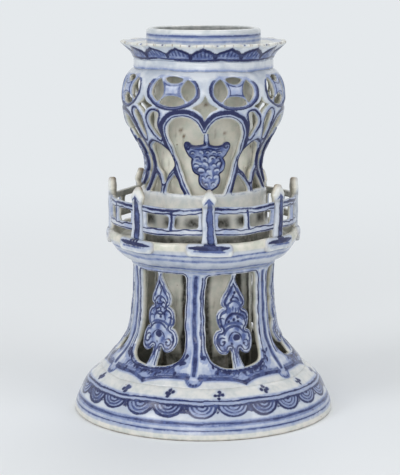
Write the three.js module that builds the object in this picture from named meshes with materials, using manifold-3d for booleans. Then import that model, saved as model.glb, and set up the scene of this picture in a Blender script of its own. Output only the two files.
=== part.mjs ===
// Pierced porcelain stand.
// A free-standing openwork stand in blue-and-white porcelain: a splayed foot, a drum with six
// windows, a gallery with a railing, a baluster cage of coins and hearts, and a petalled mouth,
// all round a plain inner tube. The pieces are the ones the potter made and joined with slip.
// Millimetres, +Z up, origin in the middle of the face that the stand rests on.
// A bearing is an angle round the axis in degrees: 0 is the front (-Y), 90 the right (+X).

import * as THREE from 'three';
import { mergeVertices } from 'three/addons/utils/BufferGeometryUtils.js';
import Module from 'manifold-3d';

const wasm = await Module();
wasm.setup();

// Driving sizes
const joint = 0.3; // slip joint between neighbouring pieces
const facets = 36; // flat faces round every turned piece

const footRadius = 65;
const footHeight = 22;
const footRimWidth = 6;
const shoulderRadius = 51.6;
const skirtInset = 0.4; // the drum's lower edge lies back from the foot's shoulder
const footWall = 5;

const drumHeight = 53.7;
const drumRadius = 35.6;
const drumWall = 3.6;
const drumHeadFlare = 0.7; // the drum's upper edge stands out from its waist
const windowCount = 6;
const windowBearing = 24;
const windowHalfAngle = 22;
const windowCurve = 11; // height of a window's rounded foot
const windowCorner = 1.5;
const windowSill = 7; // from the drum's lower edge to the lowest point of a window
const windowHead = 2.4; // from the top of a window to the drum's upper edge
const plaqueWidth = 23.2;
const plaqueWall = 3;
const plaqueInset = 0.2; // how far plaques and pendants lie back from the wall's face

const trayRadius = 47.4;
const trayRise = 14.7;
const trayFloor = 4;
const trayFloorDrop = 4.4; // from the rim down to the floor
const trayRimWidth = 2.4;

const railInset = 1.2; // the railing's face lies back from the tray's edge
const railRadius = trayRadius - railInset;
const railWall = 2.6;
const railWidth = 3.5;
const lowerRailLift = 3.6;
const railHeight = 13.4;
const postBearings = [3, 52, 93, 138, 182, 225, 270, 316];
const postWidth = 7.4;
const postHeight = 25;
const postDepth = 3.9;
const postProud = 1; // how far a post stands out from the rails
const stileWidth = 3;
const padLength = 23;
const padHeight = 6;
const padDepth = 3.8;
const padProud = 1; // how far a pad stands out from the rim

const cageWall = 3.6;
const pedestalRadius = 31.2;
const pedestalSpread = 2;
const pedestalHeight = 24.9; // from the tray's floor to the foot of the openwork
const waistRadius = 29.2;
const waistRise = 10.5;
const bellyRadius = 40.4;
const bellyRise = 42.5;
const cageNeckRadius = 34.8;
const cageHeight = 83.6;
const columnLean = 4.5; // degrees that the openwork drifts to the right on its way down

const coinCount = 8;
const coinRise = 75.1; // from the tray's floor to the middle of a coin
const coinHalfAngle = 20;
const coinHalfHeight = 9;
const coinBore = 0.81; // ring's inner size as a share of its outer size
const lensReach = 0.3; // how far a lens reaches towards the middle of its coin
const lensHalfAngle = 40;

const heartCount = 4;
const heartFrame = 3.7;
const heartGap = 0.8; // from the coins down to the hearts
const cleftDrop = 6; // from the top of a heart's lobes down to the cleft
const stemSeatDrop = 5; // from the cleft down to the pendant's seat
const stemLength = 4.4;
const pendantWidth = 23.6;
const pendantHeight = 24;
const pendantWall = 3;
const stemWidth = 2.8;

const neckRadius = 34.4;
const neckHeight = 4.4;
const neckWall = 4;

const petalCount = 18;
const petalTipRadius = 41;
const petalNotch = 2; // how far the rim draws in between two petals
const flangeHeight = 8.5;
const flangeLip = 1.2;
const flangeWeb = 2.6; // the inward ledge that holds the sleeve's head

const mouthRadius = 28;
const mouthBore = 24.4;
const mouthHeight = 7.2;

const sleeveRadius = 24.6;
const sleeveWall = 2.4;
const sleeveFootGap = 12; // from the resting face up to the tube's open end

// Heights of the pieces, each standing on the one below
const drumBottom = footHeight + joint;
const drumTop = drumBottom + drumHeight;
const trayBottom = drumTop + joint;
const trayTop = trayBottom + trayRise;
const floorTop = trayTop - trayFloorDrop;
const cageBottom = floorTop + joint;
const cageTop = cageBottom + cageHeight;
const neckBottom = cageTop + joint;
const neckTop = neckBottom + neckHeight;
const flangeBottom = neckTop + joint;
const flangeTop = flangeBottom + flangeHeight;
const collarBottom = flangeTop - flangeLip;
const boreRadius = sleeveRadius + joint;
const openworkFoot = cageBottom + pedestalHeight;

// Materials
const glaze = new THREE.MeshStandardMaterial({ color: 0xd5dce6, roughness: 0.2, metalness: 0 });
const blueGlaze = new THREE.MeshStandardMaterial({ color: 0x6f86bd, roughness: 0.2, metalness: 0 });
const creamGlaze = new THREE.MeshStandardMaterial({ color: 0xc9c7b2, roughness: 0.3, metalness: 0 });

// Solids

// Turns a closed geometry into a solid, with its faces pointing out.
function toSolid(geometry) {
  const bare = new THREE.BufferGeometry();
  bare.setAttribute('position', geometry.getAttribute('position'));
  bare.setIndex(geometry.getIndex());
  const merged = mergeVertices(bare, 1e-4);
  const vertProperties = Float32Array.from(merged.getAttribute('position').array);
  const triVerts = Uint32Array.from(merged.getIndex().array);
  const body = new wasm.Manifold(new wasm.Mesh({ numProp: 3, vertProperties, triVerts }));
  if (body.volume() > 0) {
    return body;
  }
  triVerts.reverse();
  return new wasm.Manifold(new wasm.Mesh({ numProp: 3, vertProperties, triVerts }));
}

function toGeometry(body) {
  const mesh = body.getMesh();
  const geometry = new THREE.BufferGeometry();
  geometry.setAttribute('position', new THREE.BufferAttribute(mesh.vertProperties, 3));
  geometry.setIndex(new THREE.BufferAttribute(mesh.triVerts, 1));
  geometry.computeVertexNormals();
  return geometry;
}

// A solid turned about the axis from a closed outline of [radius, height] points.
function turned(outline) {
  const points = [...outline, outline[0]].map(([radius, z]) => new THREE.Vector2(radius, z));
  const geometry = new THREE.LatheGeometry(points, facets);
  geometry.rotateX(Math.PI / 2);
  return toSolid(geometry);
}

// The radius of a smooth turned profile at a height, by cubic pieces through [radius, height]
// points, with the slope at each point taken from its neighbours.
function radiusAt(profile, z) {
  const last = profile.length - 1;
  const at = Math.max(1, profile.findIndex(([, height]) => height > z));
  const i = z >= profile[last][1] ? last - 1 : at - 1;
  const slope = (k) => {
    const [r0, z0] = profile[Math.max(0, k - 1)];
    const [r1, z1] = profile[Math.min(last, k + 1)];
    return (r1 - r0) / (z1 - z0);
  };
  const [ra, za] = profile[i];
  const [rb, zb] = profile[i + 1];
  const span = zb - za;
  const t = THREE.MathUtils.clamp((z - za) / span, 0, 1);
  const t2 = t * t;
  const t3 = t2 * t;
  return ra * (2 * t3 - 3 * t2 + 1) + rb * (3 * t2 - 2 * t3)
    + span * (slope(i) * (t3 - 2 * t2 + t) + slope(i + 1) * (t3 - t2));
}

function evenly(low, high, steps) {
  return Array.from({ length: steps + 1 }, (_, k) => low + (high - low) * k / steps);
}

// A turned wall that follows a profile, with a ring of corners at each height given.
function wall(profile, heights, thickness, proud = 0) {
  const outer = [];
  const inner = [];
  for (const z of heights) {
    const radius = radiusAt(profile, z) + proud;
    outer.push([radius, z]);
    inner.unshift([radius - thickness, z]);
  }
  return turned([...outer, ...inner]);
}

function place(bearing, radius, z) {
  const angle = THREE.MathUtils.degToRad(bearing);
  return [radius * Math.sin(angle), -radius * Math.cos(angle), z];
}

// A prism whose outline is drawn in bearing and height, and whose sides run radially.
function prism(outline, innerRadius, outerRadius) {
  const count = outline.length;
  const corners = outline.map(([bearing, z]) => new THREE.Vector2(bearing, z));
  const caps = THREE.ShapeUtils.triangulateShape(corners, []);
  const positions = [];
  for (const radius of [innerRadius, outerRadius]) {
    for (const [bearing, z] of outline) {
      positions.push(...place(bearing, radius, z));
    }
  }
  const index = [];
  for (const [a, b, c] of caps) {
    index.push(a, b, c, c + count, b + count, a + count);
  }
  for (let k = 0; k < count; k += 1) {
    const next = (k + 1) % count;
    const flip = THREE.ShapeUtils.isClockWise(corners);
    const quad = [k, next, next + count, k, next + count, k + count];
    index.push(...(flip ? quad : quad.reverse()));
  }
  const geometry = new THREE.BufferGeometry();
  geometry.setAttribute('position', new THREE.Float32BufferAttribute(positions, 3));
  geometry.setIndex(index);
  return toSolid(geometry);
}

// Outlines

// An outline from its right half, listed from top to bottom, mirrored about bearing 0.
function mirrored(half) {
  const left = half.filter(([bearing]) => bearing > 0).map(([bearing, z]) => [-bearing, z]);
  return [...half, ...left.reverse()];
}

function shifted(outline, bearing) {
  return outline.map(([b, z]) => [b + bearing, z]);
}

// A smooth open run through a few points.
function smooth(points, steps) {
  const curve = new THREE.SplineCurve(points.map(([b, z]) => new THREE.Vector2(b, z)));
  return curve.getPoints(steps).map((point) => [point.x, point.y]);
}

function degreesOf(length, radius) {
  return THREE.MathUtils.radToDeg(length / radius);
}

// A box with its corners cut off.
function cutBox(halfAngle, low, high, cornerAngle, cornerHeight) {
  return mirrored([
    [halfAngle - cornerAngle, high],
    [halfAngle, high - cornerHeight],
    [halfAngle, low + cornerHeight],
    [halfAngle - cornerAngle, low],
  ]);
}

const group = new THREE.Group();

function addPiece(name, body, material) {
  const mesh = new THREE.Mesh(toGeometry(body), material);
  mesh.name = name;
  group.add(mesh);
}

// Foot: a splayed bell, hollow underneath, with a flat ring to rest on.
function makeFoot() {
  const draw = footRadius - shoulderRadius;
  const flare = [
    [footRadius, 0],
    [footRadius - draw * 0.06, footHeight * 0.18],
    [footRadius - draw * 0.22, footHeight * 0.42],
    [footRadius - draw * 0.49, footHeight * 0.73],
    [shoulderRadius, footHeight],
  ];
  const steps = 5;
  const outer = [];
  for (let k = 0; k <= steps; k += 1) {
    const z = footHeight * k / steps;
    outer.push([radiusAt(flare, z), z]);
  }
  const inner = [
    [shoulderRadius - footWall * 1.4, footHeight],
    [shoulderRadius - footWall * 0.8, footHeight - footWall],
    [footRadius - draw * 0.22 - footWall * 1.2, footHeight * 0.42],
    [footRadius - footRimWidth, 0],
  ];
  addPiece('foot', turned([...outer, ...inner]), glaze);
}

// Drum: concave wall with six windows between fluted pilasters. Its lower edge spreads on to
// the foot, and each window holds a plaque.
const drumSpread = shoulderRadius - skirtInset - drumRadius;
const drumProfile = [
  [drumRadius + drumSpread, drumBottom],
  [drumRadius + drumSpread * 0.667, drumBottom + drumHeight * 0.112],
  [drumRadius + drumSpread * 0.346, drumBottom + drumHeight * 0.231],
  [drumRadius + drumSpread * 0.154, drumBottom + drumHeight * 0.348],
  [drumRadius + drumSpread * 0.064, drumBottom + drumHeight * 0.503],
  [drumRadius, drumBottom + drumHeight * 0.708],
  [drumRadius, drumBottom + drumHeight * 0.857],
  [drumRadius + drumHeadFlare, drumTop],
];
const windowLow = drumBottom + windowSill;
const windowHigh = drumTop - windowHead;

function windowOutline() {
  const roundness = 2.8;
  const half = [
    [windowHalfAngle - degreesOf(windowCorner, drumRadius), windowHigh],
    [windowHalfAngle, windowHigh - windowCorner],
  ];
  for (let turn = 0; turn < 80; turn += 18) {
    const angle = THREE.MathUtils.degToRad(turn);
    half.push([
      windowHalfAngle * Math.cos(angle) ** (2 / roundness),
      windowLow + windowCurve * (1 - Math.sin(angle) ** (2 / roundness)),
    ]);
  }
  half.push([windowHalfAngle * 0.25, windowLow]);
  return mirrored(half);
}

// Plaque: a cloud of three tiers on a stem, like a clipped tree, widest at the bottom tier.
function plaqueOutline() {
  const halfWidth = degreesOf(plaqueWidth / 2, drumRadius);
  const stem = degreesOf(stemWidth * 0.75, drumRadius);
  const high = windowHigh - joint;
  const low = windowLow + joint;
  const tall = high - low;
  const at = (share, rise) => [halfWidth * share, low + tall * rise];
  const half = [
    [stem, high],
    [stem, low + tall * 0.95],
    ...smooth([at(0.22, 0.9), at(0.5, 0.76), at(0.6, 0.71), at(0.52, 0.645)], 4),
    ...smooth([at(0.7, 0.58), at(0.8, 0.5), at(0.68, 0.43)], 3),
    ...smooth([at(0.9, 0.37), at(1, 0.27), at(0.92, 0.18), at(0.55, 0.13), at(0.24, 0.19)], 6),
    [stem * 1.15, low],
  ];
  return mirrored(half);
}

function makeDrum() {
  let body = wall(drumProfile, evenly(drumBottom, drumTop, 7), drumWall);
  const opening = windowOutline();
  const pitch = 360 / windowCount;
  for (let k = 0; k < windowCount; k += 1) {
    const bearing = windowBearing + pitch * k;
    body = body.subtract(prism(shifted(opening, bearing), drumRadius * 0.7, footRadius));
  }
  addPiece('lower_drum', body, glaze);

  const heights = evenly(windowLow - joint, windowHigh + joint, 3);
  const plate = wall(drumProfile, heights, plaqueWall, -plaqueInset);
  const outline = plaqueOutline();
  for (let k = 0; k < windowCount; k += 1) {
    const bearing = windowBearing + pitch * k;
    const cutter = prism(shifted(outline, bearing), drumRadius * 0.7, footRadius);
    addPiece(`window_plaque_${k + 1}`, plate.intersect(cutter), blueGlaze);
  }
}

// Gallery: a shallow dish on top of the drum, whose floor carries the cage and whose rim has
// eight pads let into it. A post stands on each pad.
const padProfile = [
  [trayRadius + padProud, trayTop - 3 * padHeight],
  [trayRadius + padProud, trayTop + padHeight],
];

function padSolid(bearing, spare) {
  const halfAngle = degreesOf(padLength / 2, trayRadius) + degreesOf(spare, trayRadius);
  const low = trayTop - padHeight - spare;
  const high = trayTop + spare;
  const rounding = padHeight * 0.35;
  const outline = cutBox(halfAngle, low, high, degreesOf(rounding, trayRadius), rounding);
  const heights = [low - rounding, high + rounding];
  const block = wall(padProfile, heights, padDepth + 2 * spare, spare);
  return block.intersect(prism(shifted(outline, bearing), trayRadius * 0.7, trayRadius * 1.3));
}

function makeGallery() {
  const seatInner = drumRadius + drumHeadFlare - drumWall;
  const seatOuter = drumRadius + drumHeadFlare + joint;
  const reach = trayRadius - seatOuter;
  const underside = smooth([
    [seatOuter, trayBottom],
    [seatOuter + reach * 0.49, trayBottom + trayRise * 0.19],
    [seatOuter + reach * 0.79, trayBottom + trayRise * 0.46],
    [trayRadius, trayBottom + trayRise * 0.77],
    [seatOuter + reach * 0.97, trayBottom + trayRise * 0.94],
  ], 5);
  let body = turned([
    [boreRadius, floorTop - trayFloor],
    [seatInner, floorTop - trayFloor],
    [seatInner, trayBottom],
    ...underside,
    [trayRadius - trayRimWidth * 0.4, trayTop],
    [trayRadius - trayRimWidth, trayTop],
    [trayRadius - trayRimWidth * 1.5, trayTop - trayFloorDrop * 0.45],
    [trayRadius - trayRimWidth * 2.25, floorTop],
    [boreRadius, floorTop],
  ]);
  for (const bearing of postBearings) {
    body = body.subtract(padSolid(bearing, joint));
  }
  addPiece('gallery_tray', body, glaze);
}

// A post is a flat bar with a shouldered, pointed knob.
function postOutline() {
  const low = trayTop + joint;
  const high = low + postHeight;
  const half = degreesOf(postWidth / 2, railRadius);
  const knob = postHeight * 0.28;
  return mirrored([
    [half * 0.25, high],
    [half * 0.62, high - knob * 0.4],
    [half * 0.8, high - knob * 0.5],
    [half * 0.98, high - knob * 0.78],
    [half * 0.8, high - knob],
    [half * 0.8, low + postHeight * 0.4],
    [half, low],
  ]);
}

function makeRailing() {
  const low = trayTop + lowerRailLift;
  const high = low + railHeight;
  const band = [[railRadius, low - railHeight], [railRadius, high + railHeight]];
  const post = postOutline();
  const postOuter = railRadius + postProud;
  const postHalf = degreesOf(postWidth / 2 + joint, railRadius);
  const stileHalf = degreesOf(stileWidth / 2, railRadius);
  const rounding = railWidth * 0.4;
  const panelBand = wall(band, [low, high], railWall);
  postBearings.forEach((bearing, k) => {
    const wrap = k === postBearings.length - 1 ? 360 : 0;
    const next = postBearings[(k + 1) % postBearings.length] + wrap;
    addPiece(`post_pad_${k + 1}`, padSolid(bearing, 0), glaze);
    addPiece(`post_${k + 1}`, prism(shifted(post, bearing), postOuter - postDepth, postOuter), glaze);

    const middle = (bearing + next) / 2;
    const halfBay = (next - bearing) / 2 - postHalf;
    const face = [[-halfBay, low], [halfBay, low], [halfBay, high], [-halfBay, high]];
    let panel = panelBand.intersect(prism(shifted(face, middle), railRadius * 0.6, railRadius * 1.4));
    const lightHalf = (halfBay - stileHalf) / 2 - stileHalf / 2;
    const light = cutBox(
      lightHalf, low + railWidth, high - railWidth, degreesOf(rounding, railRadius), rounding,
    );
    for (const side of [-1, 1]) {
      const centre = middle + side * (stileHalf + lightHalf);
      panel = panel.subtract(prism(shifted(light, centre), railRadius * 0.6, railRadius * 1.4));
    }
    addPiece(`rail_panel_${k + 1}`, panel, glaze);
  });
}

// Cage: a baluster of openwork on a plain pedestal. Below its neck runs a row of coins, under
// them four hearts stand with their points cut off by the pedestal, and back-to-back arcs, a
// long drop and a forked foot fill the space between two hearts.
const bellySpread = bellyRadius - waistRadius;
const cageProfile = [
  [pedestalRadius + pedestalSpread, cageBottom],
  [pedestalRadius, openworkFoot - pedestalHeight * 0.32],
  [pedestalRadius, openworkFoot],
  [waistRadius, openworkFoot + waistRise],
  [waistRadius + bellySpread * 0.125, openworkFoot + waistRise * 1.7],
  [waistRadius + bellySpread * 0.643, openworkFoot + bellyRise * 0.67],
  [waistRadius + bellySpread * 0.875, openworkFoot + bellyRise * 0.8],
  [bellyRadius, openworkFoot + bellyRise * 0.95],
  [bellyRadius, openworkFoot + bellyRise * 1.14],
  [waistRadius + bellySpread * 0.795, openworkFoot + bellyRise * 1.3],
  [cageNeckRadius, cageTop],
];
const coinHeight = cageBottom + coinRise;

// The openwork's drift round the axis at a height: none at the coins, all of it at the foot.
function lean(z) {
  const top = coinHeight - coinHalfHeight;
  const share = THREE.MathUtils.clamp((top - z) / (top - openworkFoot), 0, 1);
  return columnLean * share * share * (3 - 2 * share);
}

function leaned(outline) {
  return outline.map(([bearing, z]) => [bearing + lean(z), z]);
}

// One lens of a coin, which points along a direction in the coin's own unit circle.
function lensOutline(direction) {
  const half = THREE.MathUtils.degToRad(lensHalfAngle);
  const tip = new THREE.Vector2(Math.cos(half), Math.sin(half)).multiplyScalar(coinBore);
  const sag = tip.x - lensReach;
  const arcRadius = (tip.y ** 2 + sag ** 2) / (2 * sag);
  const arcHalf = Math.asin(tip.y / arcRadius);
  const points = [];
  for (let k = 0; k <= 3; k += 1) {
    const angle = half * (1 - k / 1.5);
    points.push([coinBore * Math.cos(angle), coinBore * Math.sin(angle)]);
  }
  for (let k = 1; k <= 2; k += 1) {
    const angle = -arcHalf * (1 - k / 1.5);
    points.push([lensReach + arcRadius * (1 - Math.cos(angle)), arcRadius * Math.sin(angle)]);
  }
  const turn = THREE.MathUtils.degToRad(direction);
  return points.map(([x, y]) => [
    coinHalfAngle * (x * Math.cos(turn) - y * Math.sin(turn)),
    coinHeight + coinHalfHeight * (x * Math.sin(turn) + y * Math.cos(turn)),
  ]);
}

// The four-pointed opening between two coins and what lies below them.
function starOutline(halfAngle, high, low) {
  const middle = (high + low) / 2;
  const corners = [[0, high], [halfAngle, middle], [0, low], [-halfAngle, middle]];
  const hollow = 0.3;
  const points = [];
  corners.forEach(([b0, z0], k) => {
    const [b1, z1] = corners[(k + 1) % 4];
    for (const t of [0, 0.5]) {
      const pull = hollow * 4 * t * (1 - t);
      const b = b0 + (b1 - b0) * t;
      const z = z0 + (z1 - z0) * t;
      points.push([b * (1 - pull), middle + (z - middle) * (1 - pull)]);
    }
  });
  return points;
}

// Right half of a heart's outer edge, from the cleft over the lobe and down the leg.
const heartTop = coinHeight - coinHalfHeight - heartGap;
const cleftHeight = heartTop - cleftDrop;
const tabHeight = cleftHeight - stemSeatDrop;
const heartFoot = openworkFoot;
const heartLow = heartTop - heartFoot;
const heartSide = [
  [34.2, heartFoot + heartLow * 0.82],
  [35, heartFoot + heartLow * 0.66],
  [33.6, heartFoot + heartLow * 0.42],
  [28.4, heartFoot + heartLow * 0.2],
  [21.6, heartFoot],
];
const frameAngle = degreesOf(heartFrame, (waistRadius + bellyRadius) / 2);

function heartOutline() {
  const tab = degreesOf(stemWidth / 2, bellyRadius);
  const inner = heartSide.map(([bearing, z]) => [bearing - frameAngle, z]);
  const lobe = smooth([
    [tab, tabHeight],
    [tab * 1.9, tabHeight + heartFrame * 0.87],
    [8.6, heartTop - heartFrame * 1.16],
    [15.4, heartTop - heartFrame * 0.84],
    [22.4, heartTop - heartFrame * 1.1],
    inner[0],
  ], 9);
  const leg = smooth(inner, 4);
  return mirrored([...lobe, ...leg.slice(1)]);
}

// The half-moon between a heart's side and the arc beside it.
function moonOutline() {
  const side = smooth([[31.4, heartTop - heartGap], heartSide[0], heartSide[1]], 3);
  const low = heartFoot + heartLow * 0.64;
  const arc = smooth([
    [37, low + heartLow * 0.025],
    [41.6, low + heartLow * 0.17],
    [41, low + heartLow * 0.26],
    [36.4, heartTop - heartGap / 2],
  ], 4);
  return [...side.map(([b, z]) => [b + 0.9, z]), ...arc];
}

// The long drop between two hearts' legs, with its pointed end in the fork, drawn about the
// bearing midway between the hearts.
function dropOutline() {
  const midway = 180 / heartCount;
  const gap = ([bearing, z]) => [midway - bearing, z];
  const legs = heartSide.slice(1, 3).map(gap);
  const half = smooth([
    [0.8, heartFoot + heartLow * 0.62],
    [legs[0][0] - 3.5, legs[0][1] - heartLow * 0.09],
    [legs[1][0] - 0.3, legs[1][1] + heartLow * 0.05],
    [legs[1][0] + 1, legs[1][1] - heartLow * 0.09],
    [4.4, heartFoot + heartLow * 0.23],
    [0.8, heartFoot + heartLow * 0.13],
  ], 7);
  return mirrored(half);
}

// The small three-sided opening under one arm of the fork, right of a heart's leg.
function gussetOutline() {
  return [
    [23.6, heartFoot + heartGap / 2],
    ...smooth([
      [42, heartFoot + heartGap / 2],
      [40, heartFoot + heartLow * 0.12],
      [32.4, heartFoot + heartLow * 0.22],
    ], 3),
    [29, heartFoot + heartLow * 0.15],
  ];
}

// Pendant: a hanging cloud with curled ends, on a short stem under the heart's cleft.
function pendantOutline() {
  const radius = (waistRadius + bellyRadius) / 2;
  const halfWidth = degreesOf(pendantWidth / 2, radius);
  const high = tabHeight - joint;
  const top = high - stemLength;
  const stem = degreesOf(stemWidth / 2, bellyRadius);
  const at = (share, drop) => [halfWidth * share, top - pendantHeight * drop];
  const half = [
    [stem, high],
    [stem * 1.2, top],
    ...smooth([at(0.7, 0), at(0.96, -0.05), at(1, 0.05), at(0.94, 0.16), at(0.72, 0.22)], 4),
    ...smooth([at(0.78, 0.34), at(0.82, 0.44), at(0.66, 0.6)], 3),
    ...smooth([at(0.7, 0.7), at(0.66, 0.82), at(0.38, 0.94)], 3),
    [0, top - pendantHeight],
  ];
  return mirrored(half);
}

function makeCage() {
  const inside = sleeveRadius * 0.9;
  const outside = bellyRadius * 1.25;
  let body = wall(cageProfile, [cageBottom, ...evenly(openworkFoot, cageTop, 8)], cageWall);
  const cuts = [];
  for (let k = 0; k < coinCount; k += 1) {
    const bearing = (k + 0.5) * 360 / coinCount;
    for (const direction of [0, 90, 180, 270]) {
      cuts.push(shifted(lensOutline(direction), bearing));
    }
  }
  const heart = heartOutline();
  const moon = moonOutline();
  const gusset = gussetOutline();
  const drop = dropOutline();
  const midway = 180 / heartCount;
  for (let k = 0; k < heartCount; k += 1) {
    const bearing = k * 360 / heartCount;
    const wide = starOutline(9.2, coinHeight - coinHalfHeight * 0.18, cleftHeight + cleftDrop * 0.27);
    const narrow = starOutline(7.6, coinHeight - coinHalfHeight * 0.29, heartTop - cleftDrop * 0.33);
    cuts.push(shifted(wide, bearing));
    cuts.push(shifted(narrow, bearing + midway));
    cuts.push(shifted(leaned(heart), bearing));
    cuts.push(shifted(leaned(shifted(drop, midway)), bearing));
    for (const side of [-1, 1]) {
      cuts.push(shifted(leaned(moon.map(([b, z]) => [b * side, z])), bearing));
      cuts.push(shifted(leaned(gusset.map(([b, z]) => [b * side, z])), bearing));
    }
  }
  for (const outline of cuts) {
    body = body.subtract(prism(outline, inside, outside));
  }
  // Thrown in two and joined at the belly, between the coins and the hearts
  const seam = heartTop + heartGap / 2;
  addPiece('coin_band', body.trimByPlane([0, 0, 1], seam + joint / 2), glaze);
  addPiece('heart_band', body.trimByPlane([0, 0, -1], joint / 2 - seam), glaze);

  const plate = wall(cageProfile, evenly(heartFoot, cleftHeight, 3), pendantWall, -plaqueInset);
  const pendant = leaned(pendantOutline());
  for (let k = 0; k < heartCount; k += 1) {
    const cutter = prism(shifted(pendant, k * 360 / heartCount), inside, outside);
    addPiece(`heart_pendant_${k + 1}`, plate.intersect(cutter), blueGlaze);
  }
}

// Neck: the plain band over the coins.
function makeNeck() {
  const bulge = neckHeight * 0.07;
  addPiece('neck_ring', turned([
    [neckRadius - neckWall, neckBottom],
    [neckRadius + bulge, neckBottom],
    [neckRadius - bulge, neckBottom + neckHeight * 0.5],
    [neckRadius, neckTop],
    [neckRadius - neckWall, neckTop],
  ]), glaze);
}

// Flange: flares out from the neck and ends in a rim of pointed petals. The rim is cut by an
// upright wall whose radius swells from each notch to the petal's tip.
function makeFlange() {
  const spread = petalTipRadius - neckRadius;
  const flare = smooth([
    [neckRadius, flangeBottom],
    [neckRadius + spread * 0.21, flangeBottom + flangeHeight * 0.28],
    [neckRadius + spread * 0.52, flangeBottom + flangeHeight * 0.52],
    [petalTipRadius, flangeTop - flangeLip],
  ], 5);
  const body = turned([
    [neckRadius - neckWall, flangeBottom],
    ...flare,
    [petalTipRadius, flangeTop],
    [petalTipRadius - petalNotch * 1.5, flangeTop - flangeLip / 3],
    [mouthRadius + neckWall, collarBottom - joint],
    [boreRadius, collarBottom - joint],
    [boreRadius, collarBottom - joint - flangeWeb],
    [neckRadius - neckWall, collarBottom - joint - flangeWeb],
  ]);
  const pitch = 360 / petalCount;
  const rim = new THREE.Shape();
  for (let k = 0; k < petalCount; k += 1) {
    for (const share of [-0.5, -0.25, 0, 0.25]) {
      const swell = 1 - (2 * Math.abs(share)) ** 1.7;
      const radius = petalTipRadius - petalNotch * (1 - swell);
      const [x, y] = place(pitch * (k + share), radius, 0);
      if (k === 0 && share === -0.5) {
        rim.moveTo(x, y);
      } else {
        rim.lineTo(x, y);
      }
    }
  }
  const depth = flangeHeight + 2 * flangeLip;
  const column = new THREE.ExtrudeGeometry(rim, { depth, bevelEnabled: false });
  column.translate(0, 0, flangeBottom - flangeLip);
  const flat = new THREE.BufferGeometry();
  flat.setAttribute('position', column.getAttribute('position'));
  addPiece('petal_flange', body.intersect(toSolid(mergeVertices(flat, 1e-4))), glaze);
}

// Mouth: a short upright collar with a rounded lip.
function makeMouth() {
  const top = collarBottom + mouthHeight;
  const round = (mouthRadius - mouthBore) / 2;
  const lip = [];
  for (let turn = 0; turn <= 180; turn += 45) {
    const angle = THREE.MathUtils.degToRad(turn);
    lip.push([mouthRadius - round + round * Math.cos(angle), top - round + round * Math.sin(angle)]);
  }
  addPiece('mouth_collar', turned([
    [mouthBore, collarBottom],
    [mouthRadius, collarBottom],
    ...lip,
  ]), glaze);
}

// Sleeve: the plain tube behind the openwork, from the mouth down into the drum.
function makeSleeve() {
  const top = collarBottom - joint;
  addPiece('inner_sleeve', turned([
    [sleeveRadius, sleeveFootGap],
    [sleeveRadius, top],
    [sleeveRadius - sleeveWall, top],
    [sleeveRadius - sleeveWall, sleeveFootGap],
  ]), creamGlaze);
}

makeFoot();
makeDrum();
makeGallery();
makeRailing();
makeCage();
makeNeck();
makeFlange();
makeMouth();
makeSleeve();

export default group;
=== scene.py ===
# %% [markdown]
# # A pierced porcelain stand
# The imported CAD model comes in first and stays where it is. Every piece made below stands for
# one or more of its nodes, in the same frame: metres, +Z up, the front towards -Y.

# %% The frame
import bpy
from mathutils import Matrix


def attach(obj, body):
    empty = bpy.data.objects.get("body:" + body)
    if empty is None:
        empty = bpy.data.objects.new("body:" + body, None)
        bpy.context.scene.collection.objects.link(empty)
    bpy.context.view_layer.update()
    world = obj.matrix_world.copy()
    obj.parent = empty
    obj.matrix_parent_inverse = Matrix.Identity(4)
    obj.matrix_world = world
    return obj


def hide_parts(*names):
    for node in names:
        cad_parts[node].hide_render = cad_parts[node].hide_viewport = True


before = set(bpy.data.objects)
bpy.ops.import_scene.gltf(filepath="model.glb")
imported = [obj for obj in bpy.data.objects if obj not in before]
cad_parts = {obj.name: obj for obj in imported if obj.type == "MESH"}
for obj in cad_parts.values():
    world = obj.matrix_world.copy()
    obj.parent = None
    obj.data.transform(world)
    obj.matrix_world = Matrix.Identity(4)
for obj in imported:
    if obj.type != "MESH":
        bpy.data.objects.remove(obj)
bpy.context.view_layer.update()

# %% Tools
import math

import bpy
import numpy as np

MM = 0.001
DEG = math.pi / 180
scene = bpy.context.scene
scene.view_settings.view_transform = "Standard"

# %% [markdown]
# ## Camera
# The photograph looks down on the stand by about ten degrees from a good three quarters of a
# metre. The lens is given for the tall side of the frame, so the crop keeps its meaning.

# %% Camera
camera_lens = 124.3
camera_place = (-0.0017, -0.806, 0.228)
camera_data = bpy.data.cameras.new("camera")
camera_data.sensor_fit = "VERTICAL"
camera_data.sensor_height = 36
camera_data.lens = camera_lens
camera = bpy.data.objects.new("camera", camera_data)
scene.collection.objects.link(camera)
camera.location = camera_place
camera.rotation_euler = (math.radians(80), 0, 0)
scene.camera = camera
print("camera at", camera_place)

# %% [markdown]
# ## Shader arithmetic
# A material is a small program. Wrapping a socket in a class lets that program be written with
# Python's own signs: each sign adds one Math node. Colours go through Mix nodes instead, since a
# Math node would turn them grey.


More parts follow.
